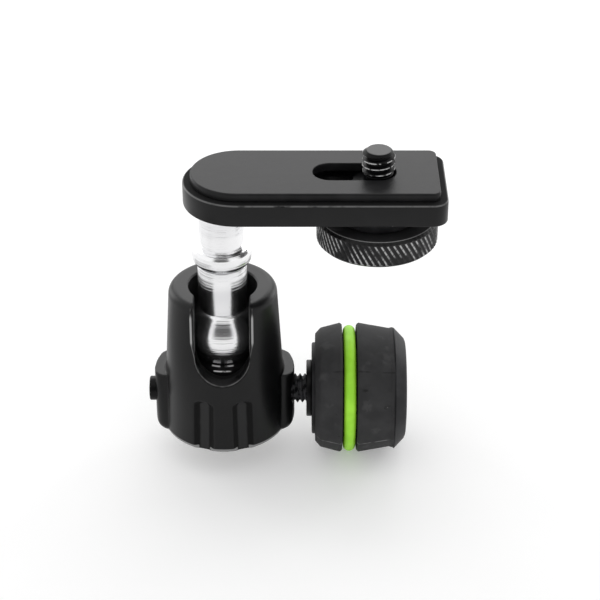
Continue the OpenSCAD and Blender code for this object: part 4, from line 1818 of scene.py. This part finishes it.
    def ring(self) -> None:
        """The bright silicone ring in the grip's groove."""
        middle = Extent.of("grip_ring").middle.x
        outline = arc(self.ring_section, 0, TURN, self.ring_steps, self.ring_r, middle)[:-1]
        piece = self.lathed("silicone_ring", [(*point, 0) for point in outline], 160, 60)
        mount(piece, "knob", "lime_silicone", "grip_ring")

    def cap(self) -> None:
        """The shallow domed cap at the knob's end."""
        low, face = Extent.of("knob_end_cap").lo.x, self.cap_face
        radii = np.linspace(self.dome_from, self.dome_to, self.dome_steps)
        top = face + self.dome_h
        dome = [(r, top - (r / self.cap_step[0]) ** 2 * self.dome_fall, 0) for r in radii]
        piece = self.lathed("end_cap", [
            (0, low, 0), (self.cap_inside, low, 0.3), (self.cap_inside, face, 0.05), (self.cap_r, face, 0.05),
            (self.cap_r, face + self.cap_wall, 0.12), (self.cap_cone[0], face + self.cap_cone[1], 0.35),
            (self.cap_step[0], face + self.cap_step[1], 0.3), *dome, (0, top, 0),
        ], 160, 40)
        mount(piece, "knob", "black_nylon", "knob_end_cap")

    def build(self) -> None:
        """Builds the knob from the screw outwards."""
        for step in (self.screw, self.hub, self.core, self.grip, self.ring, self.cap):
            step()


@dataclass
class CameraMount:
    """The camera screw that slides in the plate, its washer and its wheel. Sizes are in millimetres."""

    crest_r: float = 3.175
    root_r: float = 2.45
    pitch: float = 1.27
    neck_r: float = 2.9
    thread_z: float = 57.5
    thread_lead: float = 0.5
    tip_r: float = 2.3
    tip_length: float = 0.7
    head_r: float = 5.1
    head_h: float = 1.4
    head_gap: float = 0.03
    groove_r: float = 2.3
    groove_z: float = 54.85
    groove_h: float = 0.7
    slot_half: float = 0.6
    slot_depth: float = 0.8
    slot_reach: float = 6.0
    washer_bore: float = 2.95
    wheel_bore: float = 2.93
    wheel_sink: float = 1.6
    chamfer: float = 0.55
    face_ring: float = 1.2
    knurls: int = 62
    knurl_rise: float = 2.05
    knurl_depth: float = 0.3
    knurl_weak: float = 0.6
    knurl_step: float = 0.15
    knurl_fade: Span = (0.4, 1.5)
    columns_a_knurl: int = 8

    def screw(self) -> None:
        """The camera screw with its slotted head."""
        box = Extent.of("camera_screw")
        low, centre = box.lo.z, Vector((box.middle.x, 0, 0))
        head, foot, top = low + self.head_h, self.groove_z, self.groove_z + self.groove_h
        thread = Thread(
            self.crest_r, self.root_r, self.pitch, self.thread_z - OVERLAP, box.hi.z, self.tip_r,
            self.tip_length, self.thread_lead, columns=72, rows_a_turn=10,
        )
        rod = thread.build("camera_screw_rod", Axis.UP, centre)
        shank = turned("camera_screw_shank", [
            (0, low, 0), (self.head_r, low, 0.25), (self.head_r, head, 0.1), (self.neck_r, head, 0.1),
            (self.neck_r, foot, 0.05), (self.groove_r, foot, 0.05), (self.groove_r, top, 0.05),
            (self.neck_r, top, 0.05), (self.neck_r, self.thread_z, 0.15), (0, self.thread_z, 0),
        ], centre=centre, segments=72)
        slot = placed("slot_cutter", bpy.data.meshes.new("slot_cutter"))
        block = bmesh.new()
        bmesh.ops.create_cube(block, size=2 * MM)
        block.to_mesh(slot.data)
        block.free()
        height = (self.slot_depth + BEYOND) / 2
        scale, middle = (self.slot_reach, self.slot_half, height), low + self.slot_depth - height
        slot.data.transform(Matrix.LocRotScale(Vector((centre.x, 0, middle)) * MM, None, Vector(scale)))
        # The crests are painted bright as glints on wear, and the tip face is painted lighter as a highlight.
        finish = ThreadWearAndGlint(
            "CameraScrewSteel", srgb(8, 8, 9), srgb(14, 14, 15), roughness=0.3, patchiness=0.1,
            specular=0.12, centre_x=centre.x, crest_from=(3.05, 3.17), tip=box.hi.z - 0.05,
            bright=srgb(215, 215, 215),
        )
        mount(joined(cut(shank, slot), rod), "camera_wheel", "black_oxide_steel", "camera_screw", finish)

    def washer(self) -> None:
        """The washer between the wheel and the plate."""
        box = Extent.of("slide_washer")
        centre, bore = box.middle, self.washer_bore
        low, high, radius = box.lo.z, box.hi.z, box.hi.x - centre.x
        corners = [(bore, low, 0.2), (radius, low, 0.3), (radius, high, 0.3), (bore, high, 0.2)]
        piece = turned("pressure_washer", corners, centre=centre, segments=120)
        mount(piece, "slider", "black_oxide_steel", "slide_washer")

    def wheel_outline(self, low: float, high: float, radius: float) -> list[Span]:
        """The wheel's turned outline, with a point for each step of the knurl.

        Args:
            low: the height of its underside.
            high: the height of its top.
            radius: its radius.

        Returns:
            The outline's points.
        """
        c, bore = self.chamfer, self.wheel_bore
        sink, head = low + self.wheel_sink, self.head_r + self.head_gap
        below = soften([
            (bore, high, 0.15), (bore, sink, 0.05), (head, sink, 0.05), (head, low, 0.2),
            (radius - c, low, 0.08), (radius, low + c, 0.06),
        ])
        flank = high - low - 2 * c
        steps = round(flank / self.knurl_step)
        above = soften([
            (radius, high - c - OVERLAP, 0), (radius, high - c, 0.06), (radius - c, high, 0.08),
            (radius - self.face_ring, high, 0),
        ], closed=False)
        return below + [(radius, low + c + flank * k / steps) for k in range(1, steps)] + above

    def wheel(self) -> None:
        """The thumb wheel, with a diamond knurl pressed in by a rule."""
        box = Extent.of("thumb_wheel")
        low, high, radius = box.lo.z, box.hi.z, box.hi.x - box.middle.x
        centre, columns = Vector((box.middle.x, 0, 0)), self.knurls * self.columns_a_knurl
        outline = self.wheel_outline(low, high, radius)
        points = lathe_points(outline, Axis.UP, centre, columns)
        mesh = mesh_of("wheel_start", points, ring_faces(len(outline), columns, True))
        rule = Rule("WheelKnurl")
        x, y, z = rule.place()
        across = x - rule.named("Centre", centre.x)
        edge, depth = rule.named("Radius", radius), rule.named("Depth", self.knurl_depth)
        away = rule.hypot(across, y)
        turn = rule.math("ARCTAN2", y, across) * (self.knurls / TURN)
        rise = z / rule.named("Rise", self.knurl_rise)
        weak = rule.smaller(rule.wave(turn - rise) + self.knurl_weak, 1.0)
        pyramid = rule.smaller(rule.wave(turn + rise), weak)
        fade = [share * self.chamfer for share in self.knurl_fade]
        faded = rule.ramp(high - z, *fade) * rule.ramp(z - low, *fade)
        scale = rule.smaller(away, edge - depth * (1.0 - pyramid) * faded) / away
        pressed = rule.vector(across * scale + centre.x, y * scale, z)
        moved = rule.moved(rule.start.outputs["Geometry"], pressed)
        piece = tidy(rule.finished("knurled_wheel", moved, mesh), 22, FINEST_MERGE)
        finish = KnurledFinish(
            "KnurledBlack", srgb(20, 20, 21), srgb(28, 28, 29), specular=0.25, centre_x=centre.x,
            radius=radius, top=high, chamfer=self.chamfer, depth=self.knurl_depth,
        )
        mount(piece, "camera_wheel", "knurled_black", "thumb_wheel", finish)

    def build(self) -> None:
        """Builds the three pieces from the plate downwards."""
        for step in (self.screw, self.washer, self.wheel):
            step()


@dataclass
class Studio:
    """The floor, the lights, the white surroundings and the camera."""

    aim: Triple = (0.0154, 0.0, 0.0286)
    pitch: float = 31.5
    distance: float = 0.37
    lens: float = 111.0
    sensor: float = 36.0
    near: float = 0.01
    floor_z: float = -0.0062
    floor_half: float = 3.0
    floor_tone: float = 0.82
    floor_drop: float = 0.7
    floor_glow: float = 0.15
    floor_seen: float = 0.1
    left_x: Sequence[Span] = ((0.036, 0.046), (0.1, 0.08))
    left_y: Sequence[Span] = ((-0.07, -0.055), (0.05, 0.035))
    left_share: float = 0.6
    right_x: Sequence[Span] = ((0.01, 0.014), (0.07, 0.05))
    right_y: Sequence[Span] = ((0.004, 0.01), (0.075, 0.06))
    soft_light: float = 0.8
    card_tone: float = 0.12
    card_side: Span = (33.0, 25.0)
    card_low: Span = (-0.2, -0.05)
    card_high: Span = (0.82, 0.7)
    back_size: Span = (0.6, 0.3)
    back_power: float = 1.7
    back_distance: float = 0.6
    back_rise: float = 0.03
    side_size: Span = (0.2, 0.5)
    left_at: Triple = (-0.45, 0.38, 0.16)
    right_at: Triple = (0.45, 0.38, 0.2)
    side_power: float = 2.0

    def world(self) -> None:
        """White surroundings, which reflections see with a dark card towards the viewer's side."""
        world = bpy.data.worlds.new("Surroundings")
        world.use_nodes = True
        bpy.context.scene.world = world
        tree = Tree(world.node_tree)
        light = world.node_tree.nodes["Background"]
        glossy, camera, through = tree.rays("Glossy", "Camera", "Transmission")
        across, away, up = tree.split(tree.node("ShaderNodeTexCoord").outputs["Generated"])
        side = tree.size(tree.math("ARCTAN2", across, -away))
        turned_away = [math.radians(angle) for angle in self.card_side]
        card = tree.mask((side, turned_away), (up, self.card_low), (up, self.card_high))
        seen = tree.larger(camera, through)
        soft = (1.0 - glossy) * self.soft_light + glossy * (1.0 - card * (1.0 - self.card_tone))
        tree.fill(light, Color=(1, 1, 1, 1), Strength=tree.larger(soft * (1.0 - seen), seen))

    def floor(self) -> None:
        """A pale floor that keeps the shadow, with two patches that are dark for reflections only."""
        half, level = self.floor_half, self.floor_z
        corners = [(-half, -half, level), (half, -half, level), (half, half, level), (-half, half, level)]
        piece = placed("studio_floor", mesh_of("studio_floor", corners, [(0, 1, 2, 3)]))
        coat = Coat("FloorPaper")
        x, y, _ = coat.split(coat.place)
        left = coat.mask(*((-x, span) for span in self.left_x), *((y, span) for span in self.left_y))
        right = coat.mask(*((x, span) for span in self.right_x), *((y, span) for span in self.right_y))
        glossy, camera = coat.rays("Glossy", "Camera")
        coat.colour = self.floor_tone - coat.larger(left * self.left_share, right) * glossy * self.floor_drop
        glow = camera * self.floor_seen + self.floor_glow
        coat.fill(coat.shader, Emission_Color=(1, 1, 1, 1), Emission_Strength=glow)
        piece.data.materials.append(coat.closed())

    def softbox(self, name: str, where: Triple, size: Span, radiance: float) -> None:
        """A rectangular light that faces the bracket.

        Args:
            name: the light's name.
            where: its centre, in metres.
            size: its width and height, in metres.
            radiance: how bright its face looks, where 1 is white.
        """
        light = bpy.data.lights.new(name, "AREA")
        light.shape = "RECTANGLE"
        light.size, light.size_y = size
        light.energy = radiance * math.pi * size[0] * size[1]
        lamp = placed(name, light)
        lamp.location = where
        lamp.rotation_euler = (Vector(self.aim) - Vector(where)).to_track_quat("-Z", "Y").to_euler()

    def camera(self) -> None:
        """The main view."""
        lens = bpy.data.cameras.new("main_camera")
        lens.lens, lens.sensor_width, lens.clip_start = self.lens, self.sensor, self.near
        view = placed("main_camera", lens)
        tilt = math.radians(self.pitch)
        view.location = Vector(self.aim) + self.distance * Vector((0, -math.cos(tilt), math.sin(tilt)))
        view.rotation_euler = (math.pi / 2 - tilt, 0, 0)
        bpy.context.scene.camera = view

    def build(self) -> None:
        """Sets up the studio."""
        self.world()
        self.floor()
        tilt, far = math.radians(self.pitch), self.back_distance
        behind = (0.0, far * math.cos(tilt), far * math.sin(tilt) + self.back_rise)
        self.softbox("back_softbox", behind, self.back_size, self.back_power)
        self.softbox("left_softbox", self.left_at, self.side_size, self.side_power)
        self.softbox("right_softbox", self.right_at, self.side_size, self.side_power)
        self.camera()
        bpy.context.scene.view_settings.view_transform = "Standard"


def main() -> None:
    """Builds every sub-assembly in order, then the studio."""
    logging.basicConfig(level=logging.INFO, format="%(name)s: %(message)s")
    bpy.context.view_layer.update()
    for part in (Housing(), Base(), Stud(), Plate(), Knob(), CameraMount()):
        log.info("building %s", type(part).__name__)
        part.build()
    Studio().build()


if __name__ == "__main__":
    main()
